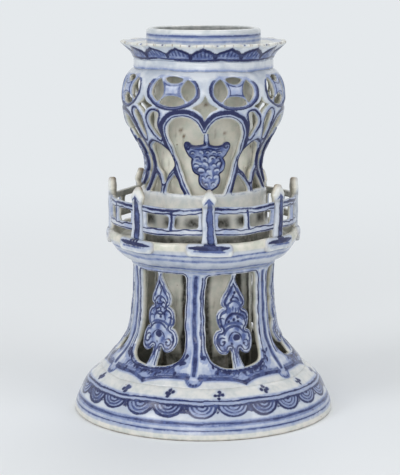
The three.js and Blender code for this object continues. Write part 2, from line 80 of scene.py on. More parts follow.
# %% Sockets as values
class Value:
    """One output socket. a + b, a - b and a * b each add the Math node of that name, and so do
    1 + a, 1 - a and 2 * a."""

    def __init__(self, tree, socket):
        self.tree = tree
        self.socket = socket

    def node(self, kind, settings=None, values=None, out=0):
        """Adds a node, sets its settings first, then its sockets from numbers or Values."""
        node = self.tree.nodes.new(kind)
        for key, setting in (settings or {}).items():
            setattr(node, key, setting)
        for key, value in (values or {}).items():
            if isinstance(value, Value):
                self.tree.links.new(value.socket, node.inputs[key])
            else:
                node.inputs[key].default_value = value
        return Value(self.tree, node.outputs[out])

    def math(self, operation, other, turned=False):
        """A Math node on this value and another, in the other order where turned."""
        first, second = (other, self) if turned else (self, other)
        return self.node("ShaderNodeMath", {"operation": operation}, {0: first, 1: second})

    def __add__(self, other):
        return self.math("ADD", other)

    def __sub__(self, other):
        return self.math("SUBTRACT", other)

    def __mul__(self, other):
        return self.math("MULTIPLY", other)

    def __rsub__(self, other):
        return self.math("SUBTRACT", other, turned=True)

    __radd__ = __add__
    __rmul__ = __mul__

    def least(self, other):
        return self.math("MINIMUM", other)

    def most(self, other):
        return self.math("MAXIMUM", other)

    def share(self):
        """The value held between 0 and 1."""
        return self.least(1.0).most(0.0)

    def size(self):
        """The value without its sign."""
        return self.node("ShaderNodeMath", {"operation": "ABSOLUTE"}, {0: self})

    def ease(self, start, end):
        """0 where the value is at start, 1 where it is at end, with a soft S between."""
        return self.node("ShaderNodeMapRange", {"interpolation_type": "SMOOTHSTEP"},
                         {0: self, 1: start, 2: end, 3: 0.0, 4: 1.0})

    def between(self, first, second):
        """The colour that lies this far from the first colour to the second."""
        return self.node("ShaderNodeMix", {"data_type": "RGBA"}, {0: self, 6: first, 7: second},
                         out=2)


def tint(red, green, blue):
    """A screen colour from 0 to 255 as the linear colour that a shader wants."""
    parts = np.array([red, green, blue]) / 255
    linear = np.where(parts > 0.04045, ((parts + 0.055) / 1.055) ** 2.4, parts / 12.92)
    return (*linear.tolist(), 1.0)


# %% [markdown]
# ## Glaze and cobalt
# The stand is white porcelain painted in cobalt under a clear glaze. One material does for all
# the painted pieces. The drawing comes with the mesh as eight numbers at each corner: distance
# and darkness of the nearest brush line, the same two for one fine line, and how strong the wash,
# the warm body, the painted shade of hollows and shaded places, and the bare brown clay are.
# The shader then roughens the line's edge, lets the blue bleed and heap up, and mottles the glaze,
# which a plain vertex colour could not do at this size.

# %% Painted glaze
BODY_COOL = tint(215, 219, 222)
BODY_DULL = tint(184, 192, 202)
BODY_WARM = tint(231, 226, 212)
BODY_GREEN = tint(213, 215, 199)
# A dark brown-grey for painted shade in hollows and behind the openwork.
PAINTED_SHADE_TINT = tint(46, 44, 37)
BLUE_DARK = tint(12, 20, 72)
BLUE_MID = tint(76, 92, 142)
BLUE_WASH = tint(142, 155, 189)
BLUE_HALO = tint(176, 187, 208)
KILN_BROWN = tint(112, 84, 58)


def attribute(start, name):
    """One of the numbers that the mesh carries at its corners."""
    return start.node("ShaderNodeAttribute", {"attribute_name": name}, out=2)


def noise(start, place, scale, detail=3.0):
    """Cloudy numbers about nil, mostly within a fifth of it."""
    cloud = start.node("ShaderNodeTexNoise", None,
                       {"Vector": place, "Scale": scale, "Detail": detail, "Roughness": 0.55})
    return cloud - 0.5


def make_glaze(name):
    """White glaze over cobalt: line, bleed and wash from the mesh, broken up by noise."""
    material = bpy.data.materials.new(name)
    material.use_nodes = True
    tree = material.node_tree
    shader = tree.nodes["Principled BSDF"]
    start = Value(tree, shader.outputs[0])
    place = start.node("ShaderNodeTexCoord", out=3)
    mottle = noise(start, place, 60.0)
    pool = noise(start, place, 260.0)
    tremble = noise(start, place, 640.0, 2.0)
    grain = noise(start, place, 1500.0, 2.0)

    cool = (mottle * 1.2 + pool * 0.6).ease(-0.12, 0.2).between(BODY_COOL, BODY_DULL)
    warm = pool.ease(-0.15, 0.2).between(BODY_WARM, BODY_GREEN)
    warmth = attribute(start, "warm") + mottle * 0.5
    body = warmth.share().between(cool, warm)

    gap = attribute(start, "gap") + mottle * 1.0 + pool * 1.0 + tremble * 0.6 + grain * 0.4
    colour = (gap.ease(1.5, 0.0) * 0.6).between(body, BLUE_HALO)
    wash = attribute(start, "wash") * (pool * 1.7 + tremble * 0.9 + 1.0)
    colour = wash.share().between(colour, BLUE_WASH)
    colour = wash.ease(1.0, 2.0).between(colour, BLUE_MID)
    heaped = attribute(start, "tone") + pool * 1.8 + tremble * 0.9
    blue = heaped.ease(0.0, 1.0).between(BLUE_MID, BLUE_DARK)
    colour = (gap.ease(0.28, -0.22) * 0.97).between(colour, blue)
    thin = (attribute(start, "thin") + pool * 0.7).size() + mottle * 0.8 + tremble * 0.4
    fine = attribute(start, "fine") + mottle * 1.2 + pool * 0.8
    thin_blue = fine.ease(0.1, 0.9).between(BLUE_MID, BLUE_DARK)
    thin_line = thin.ease(0.5, 0.12) * fine.ease(0.0, 0.5)
    colour = thin_line.between(colour, thin_blue)

    # Painted shade: hollows, cut sides and places in shade darken towards the dark brown-grey, and
    # are a little rougher.
    painted_shade = attribute(start, "painted_shade") * (pool * 1.0 + tremble * 0.5 + 1.0)
    colour = painted_shade.share().between(colour, PAINTED_SHADE_TINT)
    # Iron specks: a small disc in a few of the cells, chosen by the cell's own colour, which a
    # multiplication by one turns into a number.
    speck = {"Vector": place, "Scale": 240.0}
    from_speck = start.node("ShaderNodeTexVoronoi", None, speck)
    chance = start.node("ShaderNodeTexVoronoi", None, speck, out=1)
    spot = from_speck.ease(0.13, 0.06) * (chance * 1.0).ease(0.8, 0.86)
    kiln = (attribute(start, "kiln") * (pool * 1.6 + 0.8)).share()
    colour = kiln.most(spot * 0.75).between(colour, KILN_BROWN)
    tree.links.new(colour.socket, shader.inputs["Base Color"])

    rough = 0.17 + grain * 0.1 + attribute(start, "kiln") * 0.4 + painted_shade * 0.2
    tree.links.new(rough.most(0.08).socket, shader.inputs["Roughness"])
    height = mottle * 0.8 + pool * 0.35 + grain * 0.04
    bump = start.node("ShaderNodeBump", None,
                      {"Strength": 0.35, "Distance": 0.0005, "Height": height})
    tree.links.new(bump.socket, shader.inputs["Normal"])
    shader.inputs["IOR"].default_value = 1.42
    return material


painted_glaze = make_glaze("painted_glaze")
print("material", painted_glaze.name)

# %% [markdown]
# ## Clay by numbers
# A potter throws a wall, cuts it and softens the edges with a wet sponge. The same three steps
# are done here on a grid. The wall is a profile turned about the axis. A cut is a closed outline
# drawn in degrees round the axis and millimetres of height, and its distance is known at every
# point. The sponge is the last step: wall thickness and distance to the cut are joined as two
# sides of a right angle with a rounded corner, and the surface is drawn where the result is nil.


# %% Profiles and outlines
def radius_at(profile, z):
    """Radius at a height: cubic pieces through the profile's points, each slope from its
    neighbours, as in the CAD source."""
    radii, heights = np.array(profile, float).T
    slope = np.empty_like(radii)
    slope[1:-1] = (radii[2:] - radii[:-2]) / (heights[2:] - heights[:-2])
    slope[0] = (radii[1] - radii[0]) / (heights[1] - heights[0])
    slope[-1] = (radii[-1] - radii[-2]) / (heights[-1] - heights[-2])
    z = np.clip(z, heights[0], heights[-1])
    i = np.clip(np.searchsorted(heights, z, side="right") - 1, 0, len(radii) - 2)
    span = heights[i + 1] - heights[i]
    t = (z - heights[i]) / span
    return (radii[i] * (2 * t**3 - 3 * t**2 + 1) + radii[i + 1] * (3 * t**2 - 2 * t**3)
            + span * (slope[i] * (t**3 - 2 * t**2 + t) + slope[i + 1] * (t**3 - t**2)))


def curve(points, steps=24, closed=False):
    """A smooth run through points: each span is the cubic that leaves and meets its ends along
    the line between their neighbours."""
    p = np.array(points, float)
    if closed:
        p = np.vstack([p[-1], p, p[0], p[1]])
    else:
        p = np.vstack([p[0], p, p[-1]])
    spans = len(p) - 3
    s = np.linspace(0, spans, steps + 1)
    i = np.minimum(s.astype(int), spans - 1)
    t = (s - i)[:, None]
    a, b, c, d = p[i], p[i + 1], p[i + 2], p[i + 3]
    out = 0.5 * (2 * b + (c - a) * t + (2 * a - 5 * b + 4 * c - d) * t**2
                 + (3 * b - a - 3 * c + d) * t**3)
    return out[:-1] if closed else out


def mirrored(half):
    """A closed outline from its right half, listed from top to bottom."""
    half = np.array(half, float)
    left = half[half[:, 0] > 1e-6] * [-1, 1]
    return np.vstack([half, left[::-1]])


def along(bearing, centre):
    """Degrees from a centre bearing, the short way round."""
    return (bearing - centre + 180) % 360 - 180


def outline_gap(b, z, radius, outline):
    """Distance in mm from points of a turned wall to a closed outline, less than nil inside it.
    Degrees count as arc length at the point's own radius."""
    scale = radius * DEG
    best = np.full(b.shape, 1e9)
    inside = np.zeros(b.shape, bool)
    for (b0, z0), (b1, z1) in zip(outline, np.roll(outline, -1, axis=0)):
        ex, ez = (b1 - b0) * scale, z1 - z0
        px, pz = (b - b0) * scale, z - z0
        t = np.clip((px * ex + pz * ez) / (ex * ex + ez * ez + 1e-12), 0, 1)
        best = np.minimum(best, np.hypot(px - t * ex, pz - t * ez))
        if z0 != z1:
            inside ^= ((z0 > z) != (z1 > z)) & (px < ex * pz / ez)
    return np.where(inside, -best, best)


def nearest_gap(bearing, z, radius, cuts, reach=6.0):
    """The least outline_gap to several cuts, each a centre bearing and an outline about it."""
    best = np.full(bearing.shape, reach)
    for centre, outline in cuts:
        b = along(bearing, centre)
        margin = reach / (radius * DEG)
        near = ((b > outline[:, 0].min() - margin) & (b < outline[:, 0].max() + margin)
                & (z > outline[:, 1].min() - reach) & (z < outline[:, 1].max() + reach))
        gap = outline_gap(b[near], z[near], radius[near], outline)
        best[near] = np.minimum(best[near], gap)
    return best


def ease(value, start, end):
    """0 at start, 1 at end, a soft S between."""
    t = np.clip((value - start) / (end - start), 0, 1)
    return t * t * (3 - 2 * t)


def past(*limits):
    """Above nil wherever one of the limits is: the largest of them."""
    largest = limits[0]
    for limit in limits[1:]:
        largest = np.maximum(largest, limit)
    return largest


# %% [markdown]
# Nothing thrown and cut by hand is exact. One slow wave over the whole stand moves the clay
# round, up and in by a few tenths of a millimetre. It is the same for every piece, so that
# joints stay closed, and it dies out at the foot's resting face and at the lip.

# %% The potter's hand
stand_height = 190.0


def by_hand(bearing, z):
    """(mm round, mm up, mm out): sums of sine waves of bearing and height."""
    turn = bearing * DEG
    calm = ease(z, 2, 16) * ease(z, stand_height - 1, stand_height - 14)
    round_ = (0.42 * np.sin(3 * turn + 0.09 * z) + 0.26 * np.sin(5 * turn - 0.16 * z + 1.3)
              + 0.15 * np.sin(11 * turn + 0.31 * z + 4.0) + 0.12 * np.sin(23 * turn - 0.7 * z))
    up = (0.32 * np.sin(2 * turn + 0.8 + 0.05 * z) + 0.22 * np.sin(7 * turn - 0.11 * z)
          + 0.1 * np.sin(13 * turn + 0.37 * z + 2.2) + 0.05 * np.sin(26 * turn + 0.8 * z + 5))
    out = 0.14 * np.sin(4 * turn + 0.07 * z + 0.5) + 0.08 * np.sin(19 * turn + 0.6 * z) - 0.22
    return calm * round_, calm * up, calm * out


def placed(bearing, radius, z):
    """Points in mm from bearing, radius and height, with the potter's hand added."""
    shift, up, out = by_hand(bearing, z)
    angle = bearing * DEG + shift / np.maximum(radius, 1)
    r = radius + out
    return np.stack([r * np.sin(angle), -r * np.cos(angle), z + up], axis=1)


# %% [markdown]
# The surface itself is a surface net: every grid cell that the surface passes through gets one
# corner, in the middle of the places where the surface crosses the cell's edges, and every grid
# edge that is crossed gets the four-sided face between its four cells.


# %% Surface net
def surface_net(field, wrap):
    """Corners (in grid steps) and faces of the surface where the field is nil, clay above nil."""
    full = np.concatenate([field, field[:1]]) if wrap else field
    cells = tuple(n - 1 for n in full.shape)
    total = np.zeros((*cells, 3), np.float32)
    count = np.zeros(cells, np.float32)
    crossings = []
    for axis in range(3):
        low = tuple(slice(None, -1) if a == axis else slice(None) for a in range(3))
        high = tuple(slice(1, None) if a == axis else slice(None) for a in range(3))
        first, second = full[low], full[high]
        cross = (first > 0) != (second > 0)
        t = np.where(cross, first / np.where(cross, first - second, 1), 0)
        crossings.append((cross, first > 0))
        b, c = [a for a in range(3) if a != axis]
        for u in (0, 1):
            for v in (0, 1):
                pick = [slice(None)] * 3
                pick[b] = slice(u, cells[b] + u)
                pick[c] = slice(v, cells[c] + v)
                pick = tuple(pick)
                hit = cross[pick]
                count += hit
                total[..., axis] += t[pick]
                total[..., b] += hit * u
                total[..., c] += hit * v
    used = count > 0
    index = np.full(cells, -1)
    index[used] = np.arange(used.sum())
    corners = np.argwhere(used) + total[used] / count[used][:, None]
    faces = []
    for axis, (cross, solid_first) in enumerate(crossings):
        b, c = [a for a in range(3) if a != axis]
        spot = np.argwhere(cross)
        keep = np.ones(len(spot), bool)
        for side in (b, c):
            if wrap and side == 0:
                keep &= spot[:, 0] < cells[0]
            else:
                keep &= (spot[:, side] > 0) & (spot[:, side] < cells[side])
        spot = spot[keep]
        ring = []
        for u, v in ((0, 0), (1, 0), (1, 1), (0, 1)):
            cell = spot.copy()
            cell[:, b] -= u
            cell[:, c] -= v
            if wrap:
                cell[:, 0] %= cells[0]
            ring.append(index[tuple(cell.T)])
        quad = np.stack(ring, axis=1)
        flip = solid_first[tuple(spot.T)] ^ (axis == 1)
        quad[flip] = quad[flip][:, ::-1]
        faces.append(quad)
    return corners, np.vstack(faces)


def facing_out(points, faces):
    """The faces turned to enclose a positive volume, summed over corner products."""
    a, b, c, d = (points[faces[:, k]] for k in range(4))
    volume = (np.einsum("ij,ij->i", a, np.cross(b, c)).sum()
              + np.einsum("ij,ij->i", a, np.cross(c, d)).sum())
    return faces if volume > 0 else faces[:, ::-1]


# %% [markdown]
# carve() puts these steps together for one wall, whole or in part, and hands back where each
# corner lies on the wall, because the painter works from that.


# %% Carving a wall
def carve(profile, bearings, heights, depth, reach, step=0.5, edge=0.8, wrap=False):
    """A wall from its outer face's profile. reach(bearing, z, radius) says how many mm of clay
    lie between a point and the nearest cut. Clay is where  edge - hypot(edge - reach,
    edge - cover)  is above nil, each difference cut off at nil and cover being the distance to
    the nearer face."""
    middle = float(radius_at(profile, np.array(sum(heights) / 2)))
    count = int(round((bearings[1] - bearings[0]) * DEG * middle / step))
    b = np.linspace(bearings[0], bearings[1], count + 1)
    if wrap:
        b = b[:-1]
    z = np.arange(heights[0] - 1.5 * step, heights[1] + 2.5 * step, step)
    layers = int(np.ceil((depth[1] - depth[0]) / step)) + 1
    d = np.linspace(depth[0] - 0.4 * step, depth[1] + 0.4 * step, layers + 1)
    grid_b, grid_z = np.meshgrid(b, z, indexing="ij")
    across = np.clip(reach(grid_b, grid_z, radius_at(profile, grid_z)), -4, 4)[:, :, None]
    cover = np.minimum(d - depth[0], depth[1] - d)[None, None, :]
    field = edge - np.hypot(np.maximum(edge - across, 0), np.maximum(edge - cover, 0))
    corners, faces = surface_net(field, wrap)
    at_b = bearings[0] + corners[:, 0] * (b[1] - b[0])
    at_z = z[0] + corners[:, 1] * step
    at_d = d[0] + corners[:, 2] * (d[1] - d[0])
    return {"bearing": at_b, "z": at_z, "depth": at_d, "faces": faces,
            "radius": radius_at(profile, at_z)}


def ends(z, low, high):
    """Distance in mm to the nearer end of a wall."""
    return np.minimum(z - low, high - z)


def on_wall(wall):
    """Bearing, height, outer radius and depth of a wall's corners."""
    return wall["bearing"], wall["z"], wall["radius"], wall["depth"]


# %% [markdown]
# ## The painter's brush
# A brush line is kept as a distance, not as a colour: nil at the line's edge, below nil on it.
# A distance runs smoothly from corner to corner, so a thin line stays thin and whole even where
# the mesh is no finer than the line.

# %% Brush
FAR = 3.0


class Brush:
    """The cobalt, the tints and the painted shade on one piece, corner by corner. Wherever hidden
    is asked for, it is a distance in mm: the paint stops where it is above nil."""

    # Where each number starts: gap and tone are the brush lines, thin and fine the one fine line.
    blank = {"gap": FAR, "tone": 0.0, "thin": FAR, "fine": 0.0,
             "wash": 0.0, "warm": 0.0, "painted_shade": 0.0, "kiln": 0.0}
    most = {"wash": 2, "warm": 1, "painted_shade": 1, "kiln": 1}

    def __init__(self, count):
        for key, start in self.blank.items():
            setattr(self, key, np.full(count, start))

    def lay(self, gap, tone, hidden=0.0):
        """Keeps the nearer of two lines at each corner, with its tone."""
        gap = gap + 4 * np.maximum(hidden, 0)
        closer = gap < self.gap
        self.gap = np.where(closer, gap, self.gap)
        self.tone = np.where(closer, tone, self.tone)

    def line(self, offset, width, tone, hidden=0.0):
        """A line where offset, a distance in mm, is nil."""
        self.lay(np.abs(offset) - width / 2, tone, hidden)

    def soft(self, offset, width, strength, hidden=0.0):
        """A pale line with a blurred edge, as from a brush that has nearly run dry."""
        line = ease(np.abs(offset) - width / 2 + 4 * np.maximum(hidden, 0), 0.45, -0.35)
        self.wash = np.maximum(self.wash, strength * line)

    def outline(self, offset, strength, hidden=0.0):
        """One fine line where offset is nil. The offset keeps its sign, so that it runs straight
        through nil from corner to corner and the line can be thinner than the mesh. A piece has
        one such field, and its strength says where the line shows and how dark."""
        self.thin = np.clip(offset + 0.0 * self.gap, -FAR, FAR)
        self.fine = strength * ease(hidden + 0.0 * self.gap, 0.5, 0.0)

    def ground(self, strength, hidden=0.0):
        """A wash: up to 1 it deepens the pale blue, from 1 to 2 the middle blue."""
        self.wash = np.maximum(self.wash, strength * ease(hidden + 0.0 * self.gap, 0.5, 0.0))

    def strokes(self, x, y, strokes):
        """Strokes (path, width, tone) on a flat drawing whose x and y are in mm. A stroke is as
        wide as asked in its middle and thins to its ends, unless it closes on itself."""
        for path, width, tone in strokes:
            path = np.asarray(path, float)
            near = ((x > path[:, 0].min() - FAR) & (x < path[:, 0].max() + FAR)
                    & (y > path[:, 1].min() - FAR) & (y < path[:, 1].max() + FAR))
            if not near.any():
                continue
            px, py = x[near], y[near]
            best = np.full(px.shape, FAR)
            spans = len(path) - 1
            whole = np.allclose(path[0], path[-1])
            for k in range(spans):
                (x0, y0), (x1, y1) = path[k], path[k + 1]
                ex, ey = x1 - x0, y1 - y0
                t = np.clip(((px - x0) * ex + (py - y0) * ey) / (ex * ex + ey * ey + 1e-9), 0, 1)
                share = (k + t) / spans
                swell = 1.0 if whole else 0.4 + 0.6 * np.minimum(
                    1, 5 * np.minimum(share, 1 - share))
                gap = np.hypot(px - x0 - t * ex, py - y0 - t * ey) - width / 2 * swell
                best = np.minimum(best, gap)
            gap = np.full(x.shape, FAR)
            gap[near] = best
            self.lay(gap, tone)

    def wipe(self, x, y, strokes):
        """Strokes of a dry brush, which take the wash away and leave white."""
        dry = Brush(len(x))
        dry.strokes(x, y, strokes)
        self.wash = self.wash * ease(dry.gap, -0.3, 0.5)

    def part(self, where):
        """A brush for some of the corners only."""
        return Brush(int(where.sum()))

    def take(self, where, part):
        """Lays what a part brush drew over its own corners."""
        closer = part.gap < self.gap[where]
        self.gap[where] = np.where(closer, part.gap, self.gap[where])
        self.tone[where] = np.where(closer, part.tone, self.tone[where])
        self.wash[where] = np.maximum(self.wash[where], part.wash)
        if part.fine.any():
            self.thin[where] = part.thin
            self.fine[where] = part.fine

    def off(self, hidden):
        """Takes the cobalt away where hidden is above nil, the wash over 0.8 mm."""
        self.gap = self.gap + 3 * np.maximum(hidden, 0)
        self.wash = self.wash * ease(hidden, 0.8, 0.0)
        self.fine = self.fine * ease(hidden, 0.6, 0.1)

    def tint_and_shade_cut_side(self, depth, start, end, dark):
        """A cut's side: cream from the front edge inwards, then painted shade further in."""
        self.warm = np.maximum(self.warm, 0.95 * ease(depth, start, start + 1.0))
        back = ease(depth, end + 0.6, end + 0.2)
        self.painted_shade = np.maximum(self.painted_shade, dark * ease(depth, start + 0.7, end - 0.5) * back)

    def numbers(self):
        """The eight numbers for the mesh, the last four held between 0 and their most."""
        held = {key: np.clip(getattr(self, key), 0, most) for key, most in self.most.items()}
        return {key: held.get(key, getattr(self, key)) for key in self.blank}


def arc(x, y, radius, start, end, flat=1.0, points=9):
    """A path along a circle or a flattened one, from one angle to another in degrees, 0 to
    the right."""
    t = np.linspace(start * DEG, end * DEG, points)
    return np.stack([x + radius * np.cos(t), y + radius * flat * np.sin(t)], axis=1)


def ring(x, y, radius, flat=1.0, points=14):
    """A closed ring stroke's path."""
    return arc(x, y, radius, 0, 360, flat, points)


def scroll(x, y, radius, start, turns, points=18):
    """A spiral that closes in from a radius to nearly nil."""
    t = np.linspace(0, 1, points)
    angle = start * DEG + t * turns * 2 * math.pi
    r = radius * (1 - 0.85 * t)
    return np.stack([x + r * np.cos(angle), y + r * np.sin(angle)], axis=1)


def scales(rng, rows):
    """Rows (height, half width, count) of small arcs like the scales of a bud, each with a
    shorter arc inside it: dark strokes, and the dry strokes that light their lower edges."""
    dark, dry = [], []
    for row, (y, half, count) in enumerate(rows):
        for place in np.linspace(-half, half, count):
            x0 = place + rng.normal(0, 0.35)
            y0 = y + rng.normal(0, 0.3)
            size = rng.uniform(1.25, 2.0)
            start = rng.uniform(-15, 35)
            end = start + rng.uniform(120, 190)
            flat = rng.uniform(0.75, 1.15)
            dark.append((arc(x0, y0, size, start, end, flat), 0.8, rng.uniform(0.35, 1.0)))
            dry.append((arc(x0, y0, size - 0.8, start + 10, end - 20, flat, 5), 0.8, 0))
            if (row + count) % 2:
                dark.append((arc(x0, y0 - 0.4, 0.5, 0, 200, 1, 5), 0.7, rng.uniform(0.2, 0.9)))
    return dark, dry


# %% Making a piece
def add_piece(node, points, faces, brush, slot="glazed_porcelain", nodes=None):
    name = f"{node}_skin"
    faces = facing_out(points, faces)
    mesh = bpy.data.meshes.new(name)
    mesh.vertices.add(len(points))
    mesh.vertices.foreach_set("co", (points * MM).astype(np.float32).ravel())
    mesh.loops.add(faces.size)
    mesh.loops.foreach_set("vertex_index", faces.astype(np.int32).ravel())
    mesh.polygons.add(len(faces))
    mesh.polygons.foreach_set("loop_start", np.arange(0, faces.size, 4, dtype=np.int32))
    mesh.polygons.foreach_set("use_smooth", np.ones(len(faces), bool))
    mesh.update(calc_edges=True)
    mesh.validate()
    for key, values in brush.numbers().items():
        mesh.attributes.new(key, "FLOAT", "POINT").data.foreach_set(
            "value", values.astype(np.float32))
    mesh.materials.append(painted_glaze)
    piece = bpy.data.objects.new(name, mesh)
    scene.collection.objects.link(piece)
    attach(piece, "root")
    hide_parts(*(nodes or [node]))
    print(name, len(points), "corners", len(faces), "faces")


def add_carved(node, wall, brush, relief=0.0, **more):
    """A carved wall as a piece. Relief, in mm, lifts the front and fades out behind it."""
    b, z, radius, depth = on_wall(wall)
    points = placed(b, radius - depth + relief * ease(depth, 1.8, 0.3), z)
    add_piece(node, points, wall["faces"], brush, **more)


# %% [markdown]
# ## Upper cage
# The baluster cage is pierced all round: eight coins under the neck, four hearts below them, and
# back-to-back arcs, a long drop and a forked foot between two hearts. The outlines are those of
# the CAD source with more points. The openwork drifts a little to the right on its way down, as
# in the photograph.

# %% Cage sizes
cage_low, cage_high = 86.5, 170.7
openwork_foot = 111.8
cage_profile = [[33.2, 86.5], [31.2, 103.8], [31.2, 111.8], [29.2, 122.3], [30.6, 129.65],
                [36.4, 140.3], [39.0, 145.8], [40.4, 152.2], [40.4, 160.25], [38.1, 167.05],
                [34.8, 170.7]]
coin_height = 162.0
coin_half_angle = 20.0
coin_half_height = 9.0
coin_bore = 0.81
heart_top = 152.2
tab_height = 141.2
heart_tall = heart_top - openwork_foot
heart_bearings = [0, 90, 180, 270]


def heart_z(share):
    """The height at a share of the way up a heart."""
    return openwork_foot + heart_tall * share


heart_side = [[34.2, heart_z(0.82)], [35, heart_z(0.66)], [33.6, heart_z(0.42)],
              [28.4, heart_z(0.2)], [21.6, openwork_foot]]
heart_frame, half_stem = 3.7, 1.4
waist_radius, belly_radius = 29.2, 40.4
frame_angle = heart_frame / ((waist_radius + belly_radius) / 2 * DEG)
stem_angle = half_stem / (belly_radius * DEG)
coin_bearing, coin_pitch = 22.5, 45


def drift(z):
    """Degrees of drift at a height: none at the coins, four and a half at the foot."""
    top = coin_height - coin_half_height
    return 4.5 * ease(z, top, openwork_foot)


def drifted(outline):
    """An outline with each point moved round by the drift at its height."""
    outline = np.array(outline, float)
    return np.stack([outline[:, 0] + drift(outline[:, 1]), outline[:, 1]], axis=1)


# %% Outlines of the cage's cuts
def lens(direction):
    """A coin's lens: the ring's inner edge on one side, a shallower arc on the other. The two
    at the sides are the longer ones."""
    half, reach, bore = {0: (47, 0.31, coin_bore), 90: (31, 0.36, 0.7),
                         180: (47, 0.31, coin_bore), 270: (35, 0.26, coin_bore)}[direction]
    half *= DEG
    tip_x, tip_y = bore * math.cos(half), bore * math.sin(half)
    sag = tip_x - reach
    arc_radius = (tip_y**2 + sag**2) / (2 * sag)
    arc_half = math.asin(tip_y / arc_radius)
    out = half * np.linspace(1, -1, 14)
    back = arc_half * np.linspace(-1, 1, 14)[1:-1]
    x = np.concatenate([bore * np.cos(out), reach + arc_radius * (1 - np.cos(back))])
    y = np.concatenate([bore * np.sin(out), arc_radius * np.sin(back)])
    turn = direction * DEG
    return np.stack([coin_half_angle * (x * math.cos(turn) - y * math.sin(turn)),
                     coin_height + coin_half_height * (x * math.sin(turn) + y * math.cos(turn))],
                    axis=1)


def star(half_angle, high, low):
    """A four-pointed opening with hollow sides."""
    middle = (high + low) / 2
    corner = np.array([[0, high], [half_angle, middle], [0, low], [-half_angle, middle]])
    t = np.linspace(0, 1, 8)[:-1, None]
    pull = 1 - 0.3 * 4 * t * (1 - t)
    sides = []
    for k in range(4):
        side = corner[k] + (corner[(k + 1) % 4] - corner[k]) * t
        sides.append(np.hstack([side[:, :1] * pull, middle + (side[:, 1:] - middle) * pull]))
    return np.vstack(sides)


def heart():
    """Right half of a heart's inner edge, from the stem over the lobe and down the leg."""
    inner = [[b - frame_angle, z] for b, z in heart_side]
    lobe = curve([[stem_angle, tab_height], [stem_angle * 1.9, 144.3], [6.8, 146.9],
                  [10.6, 148.7], [15.4, 149.3], [20.2, 148.8], [24.4, 147.1], [27.4, 144.3],
                  [28.8, 140.6], [28.7, 137.0]], 44)
    leg = curve([[28.7, 137.0], [28.2, 133.0], *inner[2:]], 16)
    return drifted(mirrored(np.vstack([lobe, leg[1:]])))


def moon():
    """The half-moon between a heart's side and the arc beside it."""
    return curve([[32.9, 151.0], [34.9, 146.6], [35.7, 142.0], [36.8, 138.8], [39.4, 141.2],
                  [41.5, 144.8], [41.2, 148.4], [38.6, 151.0], [35.6, 151.9]], 36, closed=True)


def drop():
    """The long drop between two hearts' legs, pointed at both ends."""
    (b1, z1), (b2, z2) = [[45 - b, z] for b, z in heart_side[1:3]]
    return mirrored(curve([[0.8, heart_z(0.62)], [b1 - 3.5, z1 - heart_tall * 0.09],
                           [b2 - 0.3, z2 + heart_tall * 0.05], [b2 + 1, z2 - heart_tall * 0.09],
                           [4.4, heart_z(0.23)], [0.8, heart_z(0.13)]], 28))


def gusset():
    """The three-sided opening under one arm of the fork."""
    bow = curve([[42, openwork_foot + 0.4], [40, heart_z(0.12)], [32.4, heart_z(0.22)]], 12)
    return np.vstack([[[23.6, openwork_foot + 0.4]], bow, [[29, heart_z(0.15)]]])


coin_cuts = [(coin_bearing + coin_pitch * k, lens(turn)) for k in range(360 // coin_pitch)
             for turn in (0, 90, 180, 270)]
star_cuts = [(b, star(9.4, 159.6, 147.8)) for b in heart_bearings]
star_cuts += [(b + 45, star(7.6, 159.0, 150.2)) for b in heart_bearings]
heart_cuts = [(b, heart()) for b in heart_bearings]
drop_cuts = [(b + 45, drifted(drop())) for b in heart_bearings]
side_cuts = drop_cuts + [(b, drifted(half() * [side, 1])) for half in (moon, gusset)
                         for b in heart_bearings for side in (1, -1)]
cage_cuts = coin_cuts + star_cuts + heart_cuts + side_cuts
print(len(cage_cuts), "cuts in the cage")


# %% Carving and painting the cage
def cage_reach(b, z, radius):
    """Distance in mm to the nearest cut or end of the cage."""
    return np.minimum(nearest_gap(b, z, radius, cage_cuts), ends(z, cage_low, cage_high))


cage = carve(cage_profile, (0, 360), (cage_low, cage_high), (0, 3.6), cage_reach,
             step=0.57, edge=1.35, wrap=True)
post_bearings = [3, 52, 93, 138, 182, 225, 270, 316]    # uneven, as in the CAD source
bays = list(zip(post_bearings, [*post_bearings[1:], post_bearings[0] + 360]))


def rail_shade(b, z):
    """Soft dark patches where the railing keeps the light from the wall behind it."""
    shade = np.zeros(b.shape)
    for start, end in bays:
        for share in (0.27, 0.73):
            x = along(b, start + (end - start) * share) / 8.0
            shade = np.maximum(shade, np.exp(-x**4 - ((z - 98.4) / 2.6) ** 4))
    return shade


